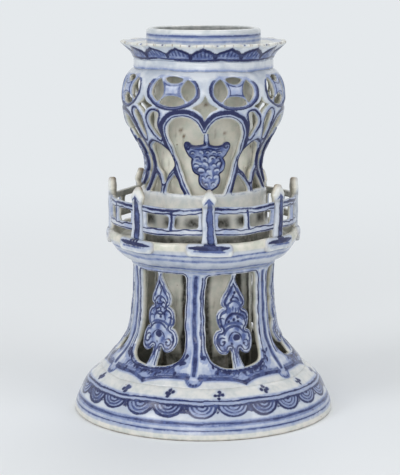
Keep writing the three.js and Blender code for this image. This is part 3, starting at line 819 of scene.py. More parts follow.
def paint_cage(wall):
    """Coins: a periwinkle ring between a dark outer line and a thin line along each lens.
    Hearts: a broad dark line outside, a thin one inside. Arcs and fork: a line along each cut."""
    b, z, radius, depth = on_wall(wall)
    brush = Brush(len(b))
    front = depth < 1.6
    b, z, radius = b[front], z[front], radius[front]
    near = brush.part(front)
    to_coin = along(b, coin_bearing + coin_pitch * np.round((b - coin_bearing) / coin_pitch))
    u, v = to_coin / coin_half_angle, (z - coin_height) / coin_half_height
    rho = np.hypot(u, v) + 1e-6
    slope = np.hypot(u / (rho * coin_half_angle * DEG * radius), v / (rho * coin_half_height))
    from_coin = (rho - 0.93) / slope
    high = z - (cage_high - 1.6)
    low_arc = ease(v, 0.6, -0.1)
    near.line(from_coin, 1.1 + 0.4 * low_arc, 0.5 + 0.5 * low_arc, past(high, v * 9 - 5))
    lens_gap = nearest_gap(b, z, radius, coin_cuts)
    near.ground(0.85, past(from_coin, high, v * 9 - 6.5))

    heart_gap = nearest_gap(b, z, radius, heart_cuts)
    below = openwork_foot + 0.6 - z
    near.line(heart_gap - 2.9, 2.1, 1.05, past(below, 1.0 - from_coin))
    near.ground(0.75, past(1.3 - heart_gap, heart_gap - 4.2, below))
    side_gap = nearest_gap(b, z, radius, side_cuts)
    near.line(side_gap - 1.2, 0.9, 0.75, past(below, side_gap - heart_gap + 0.6))
    near.ground(0.6, past(side_gap - 2.2, below))
    inner_gap = np.minimum(np.minimum(lens_gap, heart_gap), side_gap)
    in_coin = ease(lens_gap - inner_gap, 0.1, 0.0)
    by_side = ease(side_gap - inner_gap, 0.1, 0.0)
    strength = 0.6 + 0.45 * by_side - 0.15 * in_coin
    near.outline(inner_gap - 0.95, strength,
                 np.maximum(below, np.where(in_coin > 0.5, np.maximum(from_coin, v * 9 - 4), 0)))
    near.ground(0.12)
    brush.take(front, near)
    brush.off(depth - 0.75)
    # The cuts' sides: cream, then painted shade further in.
    brush.tint_and_shade_cut_side(depth, 0.45, 3.2, 0.42)
    b, z = wall["bearing"], wall["z"]
    brush.warm = np.maximum(brush.warm, 0.75 * ease(z, 116, 106))
    # Painted shade on the wall's foot: patches behind the railing, and darker down towards the
    # tray's floor.
    pedestal_shade = np.maximum(0.95 * rail_shade(b, z), 0.8 * ease(z, 94, 89.5))
    brush.painted_shade = np.maximum(brush.painted_shade, pedestal_shade)
    return brush


add_carved("upper_cage", cage, paint_cage(cage), nodes=["coin_band", "heart_band"])

# %% [markdown]
# ## Pendants
# A cloud with curled ends hangs in each heart. It was cut from the same wall, washed all over
# in mid blue and drawn with rows of scales, so it is carved from the cage's profile too. The
# window plaques and the posts are cut the same way, each from its own wall.


# %% Plates
plate_depth = (0.2, 3.2)


def carve_plate(profile, centre, sides, heights, outline, step, edge=0.8, depth=plate_depth):
    """A plate of the given outline, cut from a wall about a centre bearing, and how many mm each
    corner lies within the outline."""
    def reach(b, z, radius):
        """The outline's distance turned round: above nil on the plate."""
        return -outline_gap(along(b, centre), z, radius, outline)

    plate = carve(profile, (centre - sides[0], centre + sides[1]), heights, depth, reach,
                  step=step, edge=edge)
    b, z, radius, _ = on_wall(plate)
    return plate, reach(b, z, radius)


def add_plate(node, plate, brush, inner, clean, swell, cut):
    """A painted plate as a piece. It rises from its edge inwards and its brush lines are cut
    in. Both are given as (mm, from, to), the last two in mm from the edge."""
    incised = ease(brush.gap, 0.3, -0.1)
    brush.off(plate["depth"] - 1.0)
    # The cut sides: cream, then painted shade further in.
    brush.tint_and_shade_cut_side(plate["depth"], clean, 3.0, 0.5)
    relief = swell[0] * ease(inner, *swell[1:]) - cut[0] * incised * ease(inner, *cut[1:])
    add_carved(node, plate, brush, relief, slot="painted_porcelain")


# %% Pendants
def pendant_outline():
    """Right half of the cloud in mm, from its stem down to its tip, turned into degrees."""
    half = np.vstack([[[1.4, tab_height + 0.4], [1.6, 136.4]],
                      curve([[1.6, 136.4], [4.0, 135.8], [7.6, 135.8], [9.2, 137.2],
                             [11.0, 137.2], [11.8, 135.4], [11.2, 132.8], [9.6, 130.4],
                             [8.0, 129.0]], 28)[1:],
                      curve([[8.0, 129.0], [8.7, 127.0], [8.6, 124.4], [7.6, 122.2],
                             [5.6, 120.9]], 14)[1:],
                      curve([[5.6, 120.9], [6.1, 119.0], [5.7, 116.8], [4.4, 114.9],
                             [2.2, 113.6], [0, 112.9]], 16)[1:]])
    outline = mirrored(half * [0.95, 1]) + [0.9, 0]
    outline[:, 0] /= radius_at(cage_profile, outline[:, 1]) * DEG
    return drifted(outline)


def pendant_strokes(rng):
    """A wavy top line, a curl in each horn, and rows of scales that shrink towards the tip."""
    sway = rng.normal(0, 0.4)
    dark, dry = scales(rng, [(131.8, 6.6, 5), (128.8, 5.4, 4), (125.6, 5.6, 4), (122.6, 4.0, 3),
                             (119.2, 3.2, 3), (116.2, 1.8, 2)])
    dark += [([[-8.0, 134.3], [-3.6, 133.5], [0.6, 134.2], [4.4, 133.6], [8.2, 134.5]], 0.8, 0.7),
             (scroll(-9.7, 134.6, 1.6, 160, -1.2), 0.9, 0.9),
             (scroll(9.5, 134.8, 1.5, 20, 1.2), 0.9, 0.9),
             ([[5.8 + sway, 129.6], [6.5, 126.4], [5.2, 123.4]], 1.2, 0.9),
             ([[-7.0, 124.6], [-5.0, 122.6 + sway], [-2.4, 122.4]], 1.1, 0.7),
             ([[-3.8, 118.8], [-3.4, 116.6], [-1.2, 114.8]], 1.2, 0.8)]
    dry += [([[-6.0, 127.4], [-3.2, 126.8]], 0.9, 0), ([[0.6, 123.8], [1.0, 119.6]], 1.1, 0),
            ([[2.2, 130.6], [0.2, 127.4]], 1.0, 0), ([[4.2, 118.4], [2.8, 115.8]], 0.9, 0)]
    return dark, dry


pendant_cloud = pendant_outline()
for k, centre in enumerate(heart_bearings):
    plate, inner = carve_plate(cage_profile, centre, (20, 28), (112, 142), pendant_cloud, 0.34)
    b, z, radius, _ = on_wall(plate)
    x = ((along(b, centre) - drift(z)) * DEG * radius - 0.9) / 0.95
    brush = Brush(len(b))
    dark, dry = pendant_strokes(np.random.default_rng(40 + k))
    brush.ground(1.5 + 0.4 * np.sin(x * 1.1 + k) * np.sin(z * 0.8), z - 137.8)
    brush.wipe(x, z, dry)
    brush.line(inner - 0.45, 1.2, 1.2, z - 137.4)
    brush.strokes(x, z, dark)
    brush.line(np.abs(x) - 1.0, 0.6, 0.9, 136.6 - z)
    brush.ground(0.4)
    add_plate(f"heart_pendant_{k + 1}", plate, brush, inner, 1.0, (0.5, 0.2, 1.8), (0.3, 1.0, 1.6))

# %% [markdown]
# ## Lower drum
# The drum's wall sweeps out to the foot. Six windows with rounded feet leave six pilasters, each
# with a broad blue line down its middle. Under the windows the skirt carries rocks and foliage,
# and its hem is drawn by a dark line that dips to a point under each window.

# %% Drum sizes
drum_low, drum_high = 20.8, 76.15
drum_profile = [[51.4, 21.8], [46.0, 28.3], [41.0, 34.7], [38.0, 41.0], [36.6, 49.3],
                [35.6, 60.3], [35.6, 68.3], [36.3, 76.15]]
window_bearing, window_pitch = 24, 60
window_bearings = [window_bearing + window_pitch * k for k in range(6)]
window_low, window_high = 29.3, 73.6


def window_outline():
    """A window with cut upper corners and a foot rounded as a squarish ellipse."""
    turn = np.linspace(0, 88, 22) * DEG
    foot_b = 22 * np.cos(turn) ** (2 / 2.8)
    foot_z = window_low + 11 * (1 - np.sin(turn) ** (2 / 2.8))
    head = [[19.6, window_high], [21.3, window_high - 0.45], [22, window_high - 1.5]]
    return mirrored(np.vstack([head, np.stack([foot_b, foot_z], axis=1)]))


window_cut = window_outline()
window_cuts = [(b, window_cut) for b in window_bearings]


def drum_reach(b, z, radius):
    """Distance in mm to the nearest window or end of the drum."""
    return np.minimum(nearest_gap(b, z, radius, window_cuts), ends(z, drum_low, drum_high))


def to_window(b):
    """Degrees to the nearest window's middle."""
    turns = np.round((b - window_bearing) / window_pitch)
    return along(b, window_bearing + window_pitch * turns)


def hem_height(b):
    """Height of the skirt's hem: level under the pilasters, a cusp under each window."""
    near = np.clip(1 - np.abs(to_window(b)) / 15, 0, 1)
    return 25.3 - 2.3 * near**2.2


# %% Skirt drawing
def skirt_strokes(rng):
    """Rocks as overlapping arcs, grass as short flicks and leaves as dabs, under one window."""
    strokes = []
    for k in range(7):
        x = -12 + 4 * k + rng.normal(0, 0.6)
        low = 25.8 + 1.2 * abs(k - 3) / 3 + rng.normal(0, 0.3)
        high = rng.uniform(1.8, 3.0)
        strokes.append((arc(x, low, high, rng.uniform(0, 30), rng.uniform(140, 185)), 1.0, 0.6))
        strokes.append((arc(x + 0.5, low, high * 0.55, 10, 150), 0.7, 0.3))
    for k in range(34):
        x = rng.choice((-1, 1)) * rng.uniform(1, 18)
        z = 27.0 + 4.0 * (abs(x) / 16) ** 3 + rng.uniform(-0.9, 2.0)
        turn = rng.uniform(20, 160) * DEG
        length = rng.uniform(1.5, 2.8)
        bend = rng.uniform(-0.5, 0.5)
        path = [[x, z], [x + 0.5 * length * math.cos(turn) + bend, z + 0.5 * length],
                [x + length * math.cos(turn), z + length * math.sin(turn)]]
        strokes.append((path, rng.uniform(1.0, 1.7), rng.uniform(0.5, 1.3)))
    for k in range(12):
        x = rng.uniform(-15.5, 15.5)
        z = rng.uniform(26.6, 29.6)
        strokes.append((ring(x, z, 0.4, 0.8, 6), 1.0, 1.0))
    return strokes


# %% Carving and painting the drum
drum = carve(drum_profile, (0, 360), (drum_low, drum_high), (0, 3.6), drum_reach,
             step=0.52, edge=1.25, wrap=True)


def paint_drum(wall):
    """Pilasters: a soft broad line with a darker middle and a thinner line on each side of it.
    Windows: a fine line along the edge. Skirt: drawing, hem, and half a flower under each
    pilaster."""
    b, z, radius, depth = on_wall(wall)
    brush = Brush(len(b))
    rel = to_window(b)
    from_middle = (30 - np.abs(rel)) * DEG * radius * np.sign(rel)
    side = nearest_gap(b, z, radius, window_cuts)
    above_hem = z - hem_height(b)
    column = 26.5 - z
    brush.line(from_middle - 0.1, 1.7, 0.55, past(column, z - 73.6))
    brush.soft(from_middle - 0.1, 3.0, 1.5, past(column, z - 73.9))
    brush.soft(from_middle - 2.9, 1.5, 0.9, past(32 - z, z - 73))
    brush.line(from_middle + 3.0, 0.75, 0.75, past(33 - z, z - 73.2))
    brush.outline(side - 0.9, 0.85, past(28.5 - z, z - 74.2))
    brush.soft(side - 1.4, 1.3, 0.8, past(30 - z, z - 73.8))
    brush.soft(z - 75.2, 0.9, 1.0)
    brush.line(above_hem - 0.4, 1.6, 0.6, np.abs(rel) - 27.5)
    brush.soft(above_hem - 0.5, 2.6, 1.3, np.abs(rel) - 27.5)
    brush.line(above_hem - 1.9, 0.6, 0.3, past(np.abs(rel) - 27, 3 - np.abs(rel)))
    cusp = np.hypot(rel * DEG * radius, (above_hem - 0.4) * 1.3)
    brush.lay(cusp - 1.5, 0.8, above_hem - 2.0)
    flower = np.hypot(from_middle, (z - 25.4) * 1.22)
    below = z - 26.0
    brush.line(flower - 4.1, 0.6, 0.3, below)
    brush.soft(flower - 3.3, 1.5, 1.7, below)
    brush.ground(0.8, past(flower - 4.1, below))
    for dx, dz in ((0, 22.6), (-1.3, 23.0), (1.3, 23.0)):
        brush.lay(np.hypot(from_middle - dx, z - dz) - 0.4, 0.9)
    for k, centre in enumerate(window_bearings):
        near = (np.abs(along(b, centre)) < 27) & (z < 36) & (above_hem > 0.6) & (depth < 1)
        part = brush.part(near)
        part.strokes(along(b[near], centre) * DEG * radius[near], z[near],
                     skirt_strokes(np.random.default_rng(70 + k)))
        part.ground(1.1, part.gap - 1.6)
        brush.take(near, part)
    brush.ground(0.5, past(-above_hem, z - 31, np.abs(rel) - 25))
    brush.ground(0.2, z - 80)
    brush.off(depth - 0.75)
    # The windows' sides: cream, then painted shade further in.
    brush.tint_and_shade_cut_side(depth, 0.45, 3.0, 0.42)
    brush.warm = np.maximum(brush.warm, 0.55 * ease(above_hem, 0, -1.2))
    return brush


# A shallow flute down each pilaster, and a step of half a millimetre at the skirt's hem.
groove = -0.5 * np.exp(-(((30 - np.abs(to_window(drum["bearing"]))) * DEG * drum["radius"]
                          / 1.9) ** 2)) * ease(drum["z"], 28, 36)
step_out = 0.5 * ease(drum["z"] - hem_height(drum["bearing"]), -0.4, 0.3)
add_carved("lower_drum", drum, paint_drum(drum),
           groove + step_out - 0.3 * ease(drum["z"], 22, 23.5))

# %% [markdown]
# ## Window plaques
# A cloud of three tiers stands in every window, like a clipped tree on its stem. It has a double
# outline. Inside are arches or a whirl of dabs over a bud, which the painter never made twice
# alike, so each plaque shifts its strokes by its own random draws.


# %% Plaques
def plaque_outline():
    """Right half of the plaque in mm: stem, flame, cloud and foot. Turned into degrees."""
    half = np.vstack([[[1.5, window_high + 0.5], [1.2, 71.6]],
                      curve([[1.2, 71.6], [1.7, 69.8], [3.4, 66.6], [5.8, 63.2], [6.8, 60.6],
                             [6.5, 58.4], [5.2, 57.2]], 22)[1:],
                      curve([[5.2, 57.2], [7.2, 56.2], [8.7, 54.2], [9.2, 51.6], [8.8, 48.8],
                             [7.5, 46.9]], 18)[1:],
                      curve([[7.5, 46.9], [9.6, 46.0], [11.2, 43.8], [11.7, 41.2],
                             [11.2, 38.6], [9.5, 36.3], [7.0, 35.3], [4.5, 35.9],
                             [2.9, 37.6]], 26)[1:],
                      [[2.2, 35.4], [2.5, 31.5], [3.6, window_low - 0.5]]])
    half[:, 0] *= 0.92 / (radius_at(drum_profile, half[:, 1]) * DEG)
    return mirrored(half)


def plaque_strokes(rng, whirl):
    """A dark bud in a cup below, arches or a whirl of dabs in the middle, a flame on top, with
    curls and dots in every lobe. No two are alike."""
    lean = rng.normal(0, 0.5)
    dark = [(ring(0.3 + lean, 43.6, 1.1, 0.7, 9), 1.9, 0.9),
            (arc(lean, 42.4, 3.7, -10, 190, 0.95), 0.9, 0.8),
            (arc(0, 43.4, 5.6, 20, 165), 1.2, 0.55),
            (arc(0, 46.4, 6.0, 25, 150, 0.6), 1.2, 0.4),
            (scroll(-6.4, 40.8, 2.4, 60, 1.1), 0.8, 0.8),
            (scroll(6.2, 40.0, 2.2, 150, -1.2), 0.8, 0.8),
            (arc(-3.6, 38.8, 2.3, 190, 350), 0.9, 0.7), (arc(3.0, 38.4, 2.5, 180, 330), 0.9, 0.6),
            ([[7.6, 44.0], [8.8, 42.0], [8.4, 39.6]], 0.9, 0.8),
            ([[-8.6, 43.4], [-9.2, 41.0], [-8.2, 38.8]], 1.0, 0.6),
            (arc(-5.8, 50.8, 1.9, 60, 250), 0.8, 0.7), (arc(5.9, 50.4, 2.0, -80, 130), 0.8, 0.7),
            ([[-0.8, 30.5], [-0.2, 33.5], [-0.4, 37.4]], 0.9, 0.5),
            ([[0.9, 31.0], [0.8, 35.0]], 0.6, 0.3),
            ([[-3.9, 60.6], [-2.9, 64.4], [-0.6, 68.6]], 0.8, 0.6),
            ([[3.7, 60.2], [3.0, 63.8], [1.0, 67.0]], 0.8, 0.5)]
    dots = [(-5.2, 40.4), (5.0, 40.2), (-1.4, 39.6), (1.9, 37.0), (-6.6, 48.6), (6.8, 52.4)]
    if whirl:
        dark += [(ring(lean * 0.5, 57.2, 3.7, 1.25), 0.9, 0.8),
                 (arc(lean, 50.8, 3.4, -30, 200), 0.9, 0.7),
                 (arc(0, 52.2, 5.0, 30, 160), 0.8, 0.4)]
        dark += [(arc(1.9 * math.cos(t), 57.3 + 2.5 * math.sin(t), 0.9, 60 * t, 60 * t + 190),
                  0.95, 0.95) for t in (0.3, 1.3, 2.4, 3.5, 4.4, 5.5)]
        dark += [([[0.4, 62.6], [1.1, 64.8], [0.2, 67.2]], 0.9, 0.7)]
        dots += [(0.2, 57.4), (-2.8, 52.6), (2.9, 52.9), (0.4, 51.2)]
    else:
        dark += [(arc(lean * 0.5, 49.8, 5.2, 0, 180), 1.1, 0.85),
                 (arc(lean * 0.5, 50.4, 3.8, 20, 170), 0.7, 0.4),
                 (arc(0, 57.6, 3.0, -20, 200), 0.8, 0.55), (arc(0.3, 60.2, 2.2, 10, 170), 0.8, 0.7)]
        dark += [([[x, 55.4 - 0.08 * x * x], [x * 0.8, 57.6]], 0.6, 0.35)
                 for x in (-3.4, -2.1, -0.7, 0.7, 2.1, 3.4)]
        dots += [(-2.6, 50.6), (-0.2, 51.0), (2.5, 50.8), (-1.2, 52.8), (1.4, 53.2), (0.2, 62.8),
                 (0.3, 65.2), (-0.8, 60.4)]
    dark += [(ring(x + rng.normal(0, 0.3), y + rng.normal(0, 0.3), 0.3, 1.2, 6), 0.8, 1.0)
             for x, y in dots]
    return [(path + rng.normal(0, 0.25, 2), width, tone) for path, width, tone in dark]


plaque_cloud = plaque_outline()
for k, centre in enumerate(window_bearings):
    plate, inner = carve_plate(drum_profile, centre, (22, 22), (28.4, 74.4), plaque_cloud, 0.35)
    b, z, radius, _ = on_wall(plate)
    x = along(b, centre) * DEG * radius
    brush = Brush(len(b))
    brush.line(inner - 1.75, 0.9, 0.75, past(34 - z, z - 71.5))
    brush.outline(inner - 0.55, 0.5, past(30 - z, z - 73))
    brush.strokes(x, z, plaque_strokes(np.random.default_rng(90 + k), k % 2 == 1))
    patches = np.sin(x * 0.9 + k) * np.sin(z * 0.55 + 2 * k)
    brush.ground(1.0 + 0.9 * patches, 1.6 - inner)
    brush.ground(0.2)
    add_plate(f"window_plaque_{k + 1}", plate, brush, inner, 0.9, (0.35, 0.3, 2.0), (0.2, 1.6, 2.2))

# %% [markdown]
# ## Thrown pieces
# Foot, tray, neck, flange, mouth and sleeve are plain turned forms. Each is a closed profile
# carried round the axis, fine enough for its painted rings to stay sharp.


# %% Turning
def resample(points, step):
    """A closed profile with corners evenly spaced along it."""
    points = np.vstack([points, points[:1]])
    length = np.concatenate([[0], np.cumsum(np.hypot(*np.diff(points, axis=0).T))])
    spots = np.linspace(0, length[-1], max(8, int(length[-1] / step)) + 1)[:-1]
    return np.stack([np.interp(spots, length, points[:, k]) for k in (0, 1)], axis=1)


def soften(points, rounds=2):
    """A closed profile with its corners cut off, a quarter from each end of each side."""
    for _ in range(rounds):
        ahead = np.roll(points, -1, axis=0)
        points = np.stack([points * 0.75 + ahead * 0.25, points * 0.25 + ahead * 0.75],
                          axis=1).reshape(-1, 2)
    return points


def turned(profile, segments):
    """Corners and faces of a closed profile of [radius, z] carried once round the axis."""
    profile = np.asarray(profile, float)
    rows = len(profile)
    bearing = np.repeat(np.arange(segments) * 360 / segments, rows)
    radius = np.tile(profile[:, 0], segments)
    z = np.tile(profile[:, 1], segments)
    k, j = np.meshgrid(np.arange(segments), np.arange(rows), indexing="ij")
    ahead, up = (k + 1) % segments, (j + 1) % rows
    faces = np.stack([k * rows + j, ahead * rows + j, ahead * rows + up, k * rows + up], axis=-1)
    return {"bearing": bearing, "radius": radius, "z": z, "faces": faces.reshape(-1, 4)}


def add_turned(node, form, brush, **more):
    """A turned form as a piece."""
    points = placed(form["bearing"], form["radius"], form["z"])
    add_piece(node, points, form["faces"], brush, **more)


# %% [markdown]
# ## Foot
# The bell-shaped foot carries a ring of two dozen lappets, each a nest of arcs, between plain
# rings, and fourteen small florets on its pale shoulder. The rim that it stands on is bare clay.

# %% Foot
foot_flare = [[64.9, 0], [64.2, 3.96], [62.0, 9.24], [58.4, 16.06], [51.6, 22]]
foot_high = 22
lappet_pitch, lappet_bearing = 15, -1.3
florets = 14
foot_z = np.linspace(0, foot_high, 56)
foot_outer = np.stack([radius_at(foot_flare, foot_z), foot_z], axis=1)
foot_outer = np.vstack([[[64.0, 0.0]], [[64.6, 0.25]], foot_outer[2:]])
foot_outer[:, 0] -= 0.8 * ease(foot_outer[:, 1], 20.6, foot_high)
foot_inner = curve([[44.6, foot_high], [47.6, 17], [55.5, 9.2], [58.2, 1.2], [59.2, 0]], 30)
foot = turned(resample(np.vstack([foot_outer, foot_inner]), 0.52), 760)


def floret_strokes(rng):
    """Four dabs round a middle one."""
    dabs = [(0, 0), (1.5, 0.4), (-1.5, 0.3), (0.3, 1.4), (-0.2, -1.3)]
    return [(ring(x + rng.normal(0, 0.3), y + rng.normal(0, 0.3), 0.4, 0.8, 6), 1.3, 0.85)
            for x, y in dabs]


def paint_foot(form):
    """Rings at fixed heights; a lappet is a nest of half ellipses below its ring."""
    b, z, radius = form["bearing"], form["z"], form["radius"]
    brush = Brush(len(b))
    outer = radius > radius_at(foot_flare, z) - 1.6
    wave = 0.12 * np.sin(b * 0.13 + 1) + 0.1 * np.sin(b * 0.31)
    brush.outline(np.minimum(z - 4.7, 17.1 + wave - z), np.where(z > 11, 0.75, 0.5),
                  np.where(outer, 0, 3.0))
    brush.soft(z - 17.1, 1.9, 0.9)
    brush.soft(z - 4.7, 1.6, 0.9)
    brush.line(z - 15.3 - wave, 0.9, 0.8)
    brush.ground(0.7, np.abs(z - 16.4) - 1.0)
    centre = lappet_bearing + lappet_pitch * np.round((b - lappet_bearing) / lappet_pitch)
    sway = 0.5 * np.sin(centre * 2.3)
    u = np.abs(along(b, centre + sway)) * DEG * radius / 7.7
    v = (15.3 - z) * 1.13 / (5.9 + 0.3 * np.sin(centre * 3.1))
    rho = np.hypot(u, v)
    under = -v * 5
    for share, width, tone in ((0.95, 1.15, 0.95), (0.66, 0.8, 0.6), (0.4, 0.75, 0.8)):
        brush.line((rho - share) * 6.2, width, tone, under)
    brush.lay((rho - 0.16) * 6.2, 1.0, under)
    brush.lay(past((1.02 - rho) * 6 + 0.3, (v - 0.6) * 5), 0.9, past(under, 0.6 - u))
    brush.ground(1.15, past((rho - 1.0) * 6, under))
    brush.line(z - 7.7 - wave, 1.0, 0.5)
    brush.soft(z - 7.6, 2.6, 1.35)
    brush.ground(0.55, np.abs(z - 5.8) - 2.6)
    rng = np.random.default_rng(5)
    for k in range(florets):
        x = along(b, 8.3 + 360 / florets * k + rng.normal(0, 1)) * DEG * radius
        near = outer & (np.abs(x) < 5) & (z > 16.5)
        part = brush.part(near)
        part.strokes(x[near], (z[near] - 19.6 - rng.normal(0, 0.2)) * 1.5, floret_strokes(rng))
        brush.take(near, part)
    brush.ground(0.15)
    brush.off(np.where(outer, 0, 3.0))
    shoulder = 0.6 * ease(z, 17.6, 19)
    brush.warm = np.where(outer, shoulder + 0.85 * ease(z, 3.8, 2.4), 0.9)
    # Painted shade at the top of the shoulder, under the drum's hem, and inside the hollow foot.
    brush.painted_shade = np.where(outer, 0.3 * ease(z, 21.2, 22), 0.5)
    brush.kiln = ease(z, 0.9, 0.1) * 0.9
    return brush


add_turned("foot", foot, paint_foot(foot))

# %% [markdown]
# ## Gallery
# A shallow tray rings the waist. Eight pads sit in its rim, each carries a post with a pointed
# knob, and two-rail panels close the bays between the posts. All of it is hand cut, so the posts
# and rails are carved like the cage, from flat strips bent round the axis.

# %% Tray
tray_under = curve([[36.6, 76.0], [41.9, 79.1], [45.1, 83.1], [47.4, 87.6], [47.1, 90.1],
                    [46.2, 90.9]], 40)
tray_profile = np.vstack([tray_under, [[45.2, 91.0]], [[44.6, 90.4]], [[43.8, 89.0]],
                          [[42.4, 87.0]], [[41.4, 86.6]], [[24.9, 86.6]], [[24.9, 82.6]],
                          [[32.7, 82.6]], [[32.7, 76.0]]])
tray = turned(resample(tray_profile, 0.45), 640)


def paint_tray(form):
    """Three soft rings under the rim. The dish is unpainted and darkened unevenly as painted
    shade, as is the outside under the rim; the rim's top has brown spots where the glaze ran thin.
    """
    b, z, radius = form["bearing"], form["z"], form["radius"]
    brush = Brush(len(b))
    outer = radius > np.interp(z, tray_under[:, 1], tray_under[:, 0]) - 0.6
    brush.soft(z - 84.8, 0.9, 1.6)
    brush.soft(z - 82.2, 1.3, 1.3)
    brush.soft(z - 77.5, 1.3, 1.5)
    brush.ground(0.45, np.abs(z - 83.4) - 1.4)
    brush.ground(0.4, z - 79.6)
    brush.ground(0.25, z - 87)
    brush.off(np.where(outer, 0, 3.0))
    brush.warm = np.where(outer, 0.9 * ease(z, 85.8, 88), 0.95)
    uneven = np.sin(b * 0.21) * np.sin(b * 0.083 + 1)
    # Painted shade: darker just under the rim outside, and unevenly over the dish.
    brush.painted_shade = np.where(outer, (0.16 + 0.1 * uneven) * ease(z, 86, 88.5), 0.22 + 0.2 * uneven)
    brush.kiln = 0.3 * np.maximum(uneven, 0) * ease(z, 89.6, 90.6)
    return brush


add_turned("gallery_tray", tray, paint_tray(tray))


# %% Pads
def box_reach(centre, half_width, low, high, rounding):
    """Distance into a rectangle with rounded corners, bent round the axis."""
    def reach(b, z, radius):
        """The nearer side, or round a corner the rounding less the distance to its centre."""
        x = half_width - np.abs(along(b, centre)) * DEG * radius
        y = ends(z, low, high)
        corner = np.hypot(np.maximum(rounding - x, 0), np.maximum(rounding - y, 0))
        return np.where((x < rounding) & (y < rounding), rounding - corner, np.minimum(x, y))
    return reach


def upright(radius):
    """The profile of a wall that stands straight up at a radius, past both ends of the railing."""
    return [[radius, 80], [radius, 120]]


pad_radius, post_radius, rail_radius = 48.4, 47.2, 46.2
rail_rng = np.random.default_rng(12)
for k, centre in enumerate(post_bearings):
    wall = carve(upright(pad_radius), (centre - 18, centre + 18), (85, 91), (0, 3.8),
                 box_reach(centre, 11.5, 85, 91.1, 2.1), step=0.42, edge=1.1)
    b, z, radius, depth = on_wall(wall)
    x = along(b, centre) * DEG * radius
    brush = Brush(len(b))
    tilt = rail_rng.normal(0, 0.02)
    strokes = [([[-9.4, 89.3 - 9 * tilt], [0, 89.3], [9.4, 89.3 + 9 * tilt]], 2.1, 0.9),
               ([[-7.5, 87.6], [0, 87.9], [7.5, 87.6]], 0.8, 0.1)]
    for dx in (-1.8, 0.0, 1.7):
        strokes.append(([[dx, 91.5], [dx, 88.9]], 1.7, 0.9))
    brush.strokes(x, z, strokes)
    brush.ground(0.3, brush.gap - 1.2)
    brush.off(depth - 1.4)
    brush.warm = 0.15 + 0.6 * ease(depth, 0.8, 2)
    # Painted shade deeper in the pad, towards its back.
    brush.painted_shade = 0.25 * ease(depth, 1.6, 3.6)
    brush.kiln = 0.35 * ease(np.abs(x), 9.5, 11.5)
    add_carved(f"post_pad_{k + 1}", wall, brush)

# %% [markdown]
# A post is a flat bar. Its knob has shoulders and a blunt point, and only the bar is painted.


# %% Posts
def post_outline():
    """Right half of a post: a knob with shoulders and a blunt point on a bar."""
    low, high = 90.9, 116.3
    half = 3.7 / (rail_radius * DEG)
    knob = 7.0
    points = [[half * 0.2, high], [half * 0.5, high - knob * 0.22],
              [half * 0.78, high - knob * 0.45], [half * 1.0, high - knob * 0.72],
              [half * 0.82, high - knob * 0.97], [half * 0.8, high - knob * 1.2]]
    bar = [[half * 0.8, low + 10.0], [half * 0.92, low + 4.0], [half, low]]
    return mirrored(np.vstack([curve(points, 18), bar]))


post_cut = post_outline()
post_ink = (0.75, 1.2, 0.9, 1.0, 0.7, 1.1, 0.85, 1.2)
for k, centre in enumerate(post_bearings):
    wall, _ = carve_plate(upright(post_radius), centre, (7, 7), (90.6, 116.6), post_cut, 0.4,
                          edge=1.25, depth=(0, 3.9))
    b, z, radius, depth = on_wall(wall)
    x = along(b, centre) * DEG * radius
    brush = Brush(len(b))
    sway = rail_rng.normal(0, 0.3)
    ink = post_ink[k]
    strokes = [([[sway + 0.8, 89], [0.9, 98], [0.6, 105], [sway * 0.5, 110.8]], 2.7, ink - 0.6),
               ([[-0.5, 89], [-0.3, 98], [-0.4, 105], [-0.1, 111.8]], 1.3, ink),
               ([[2.0, 90], [2.1, 98], [1.9, 106]], 0.7, ink),
               ([[-2.2, 109.5], [sway * 0.4, 111.6], [2.0, 109.3]], 0.7, 0.3)]
    brush.strokes(x, z, strokes)
    brush.ground(0.25, z - 108)
    brush.off(depth - 1.2)
    brush.warm = 0.1 + 0.7 * ease(depth, 0.8, 2) + 0.3 * ease(z, 107.5, 110)
    # Brown at the knob's tip and deeper in the cut sides; painted shade deeper in the cut sides and
    # in a band under the knob's shoulders.
    brush.kiln = 0.5 * ease(z, 114, 116) + 0.3 * ease(depth, 1.5, 3)
    brush.painted_shade = np.maximum(0.5 * ease(depth, 1.4, 3.6),
                            0.4 * np.exp(-((z - 108.4) / 0.9) ** 2))
    lean = (z - 91) * rail_rng.normal(0, 0.012)
    wall["bearing"] = b + lean / (radius * DEG)
    add_carved(f"post_{k + 1}", wall, brush)


# %% Rail panels
rail_low, rail_high = 94.6, 108.0
light_corner, light_tall = 1.4, 3.2    # a light's corner radius and half its height


def panel_reach(low_b, high_b):
    """Clay of a panel between two bearings: two rails and a stile round two openings."""
    middle, half = (low_b + high_b) / 2, (high_b - low_b) / 2

    def reach(b, z, radius):
        """The least of the distances to the panel's edge and to a light with round corners."""
        x = np.abs(b - middle) * DEG * radius
        reach_out = np.minimum(half * DEG * radius - x, ends(z, rail_low, rail_high))
        light_half = (half * DEG * radius - 1.0) / 2 - 1.2
        qx = np.abs(x - 1.5 - light_half) - (light_half - light_corner)
        qz = np.abs(z - (rail_low + rail_high) / 2) - (light_tall - light_corner)
        light = (np.hypot(np.maximum(qx, 0), np.maximum(qz, 0))
                 + np.minimum(np.maximum(qx, qz), 0) - light_corner)
        return np.minimum(reach_out, light)
    return reach


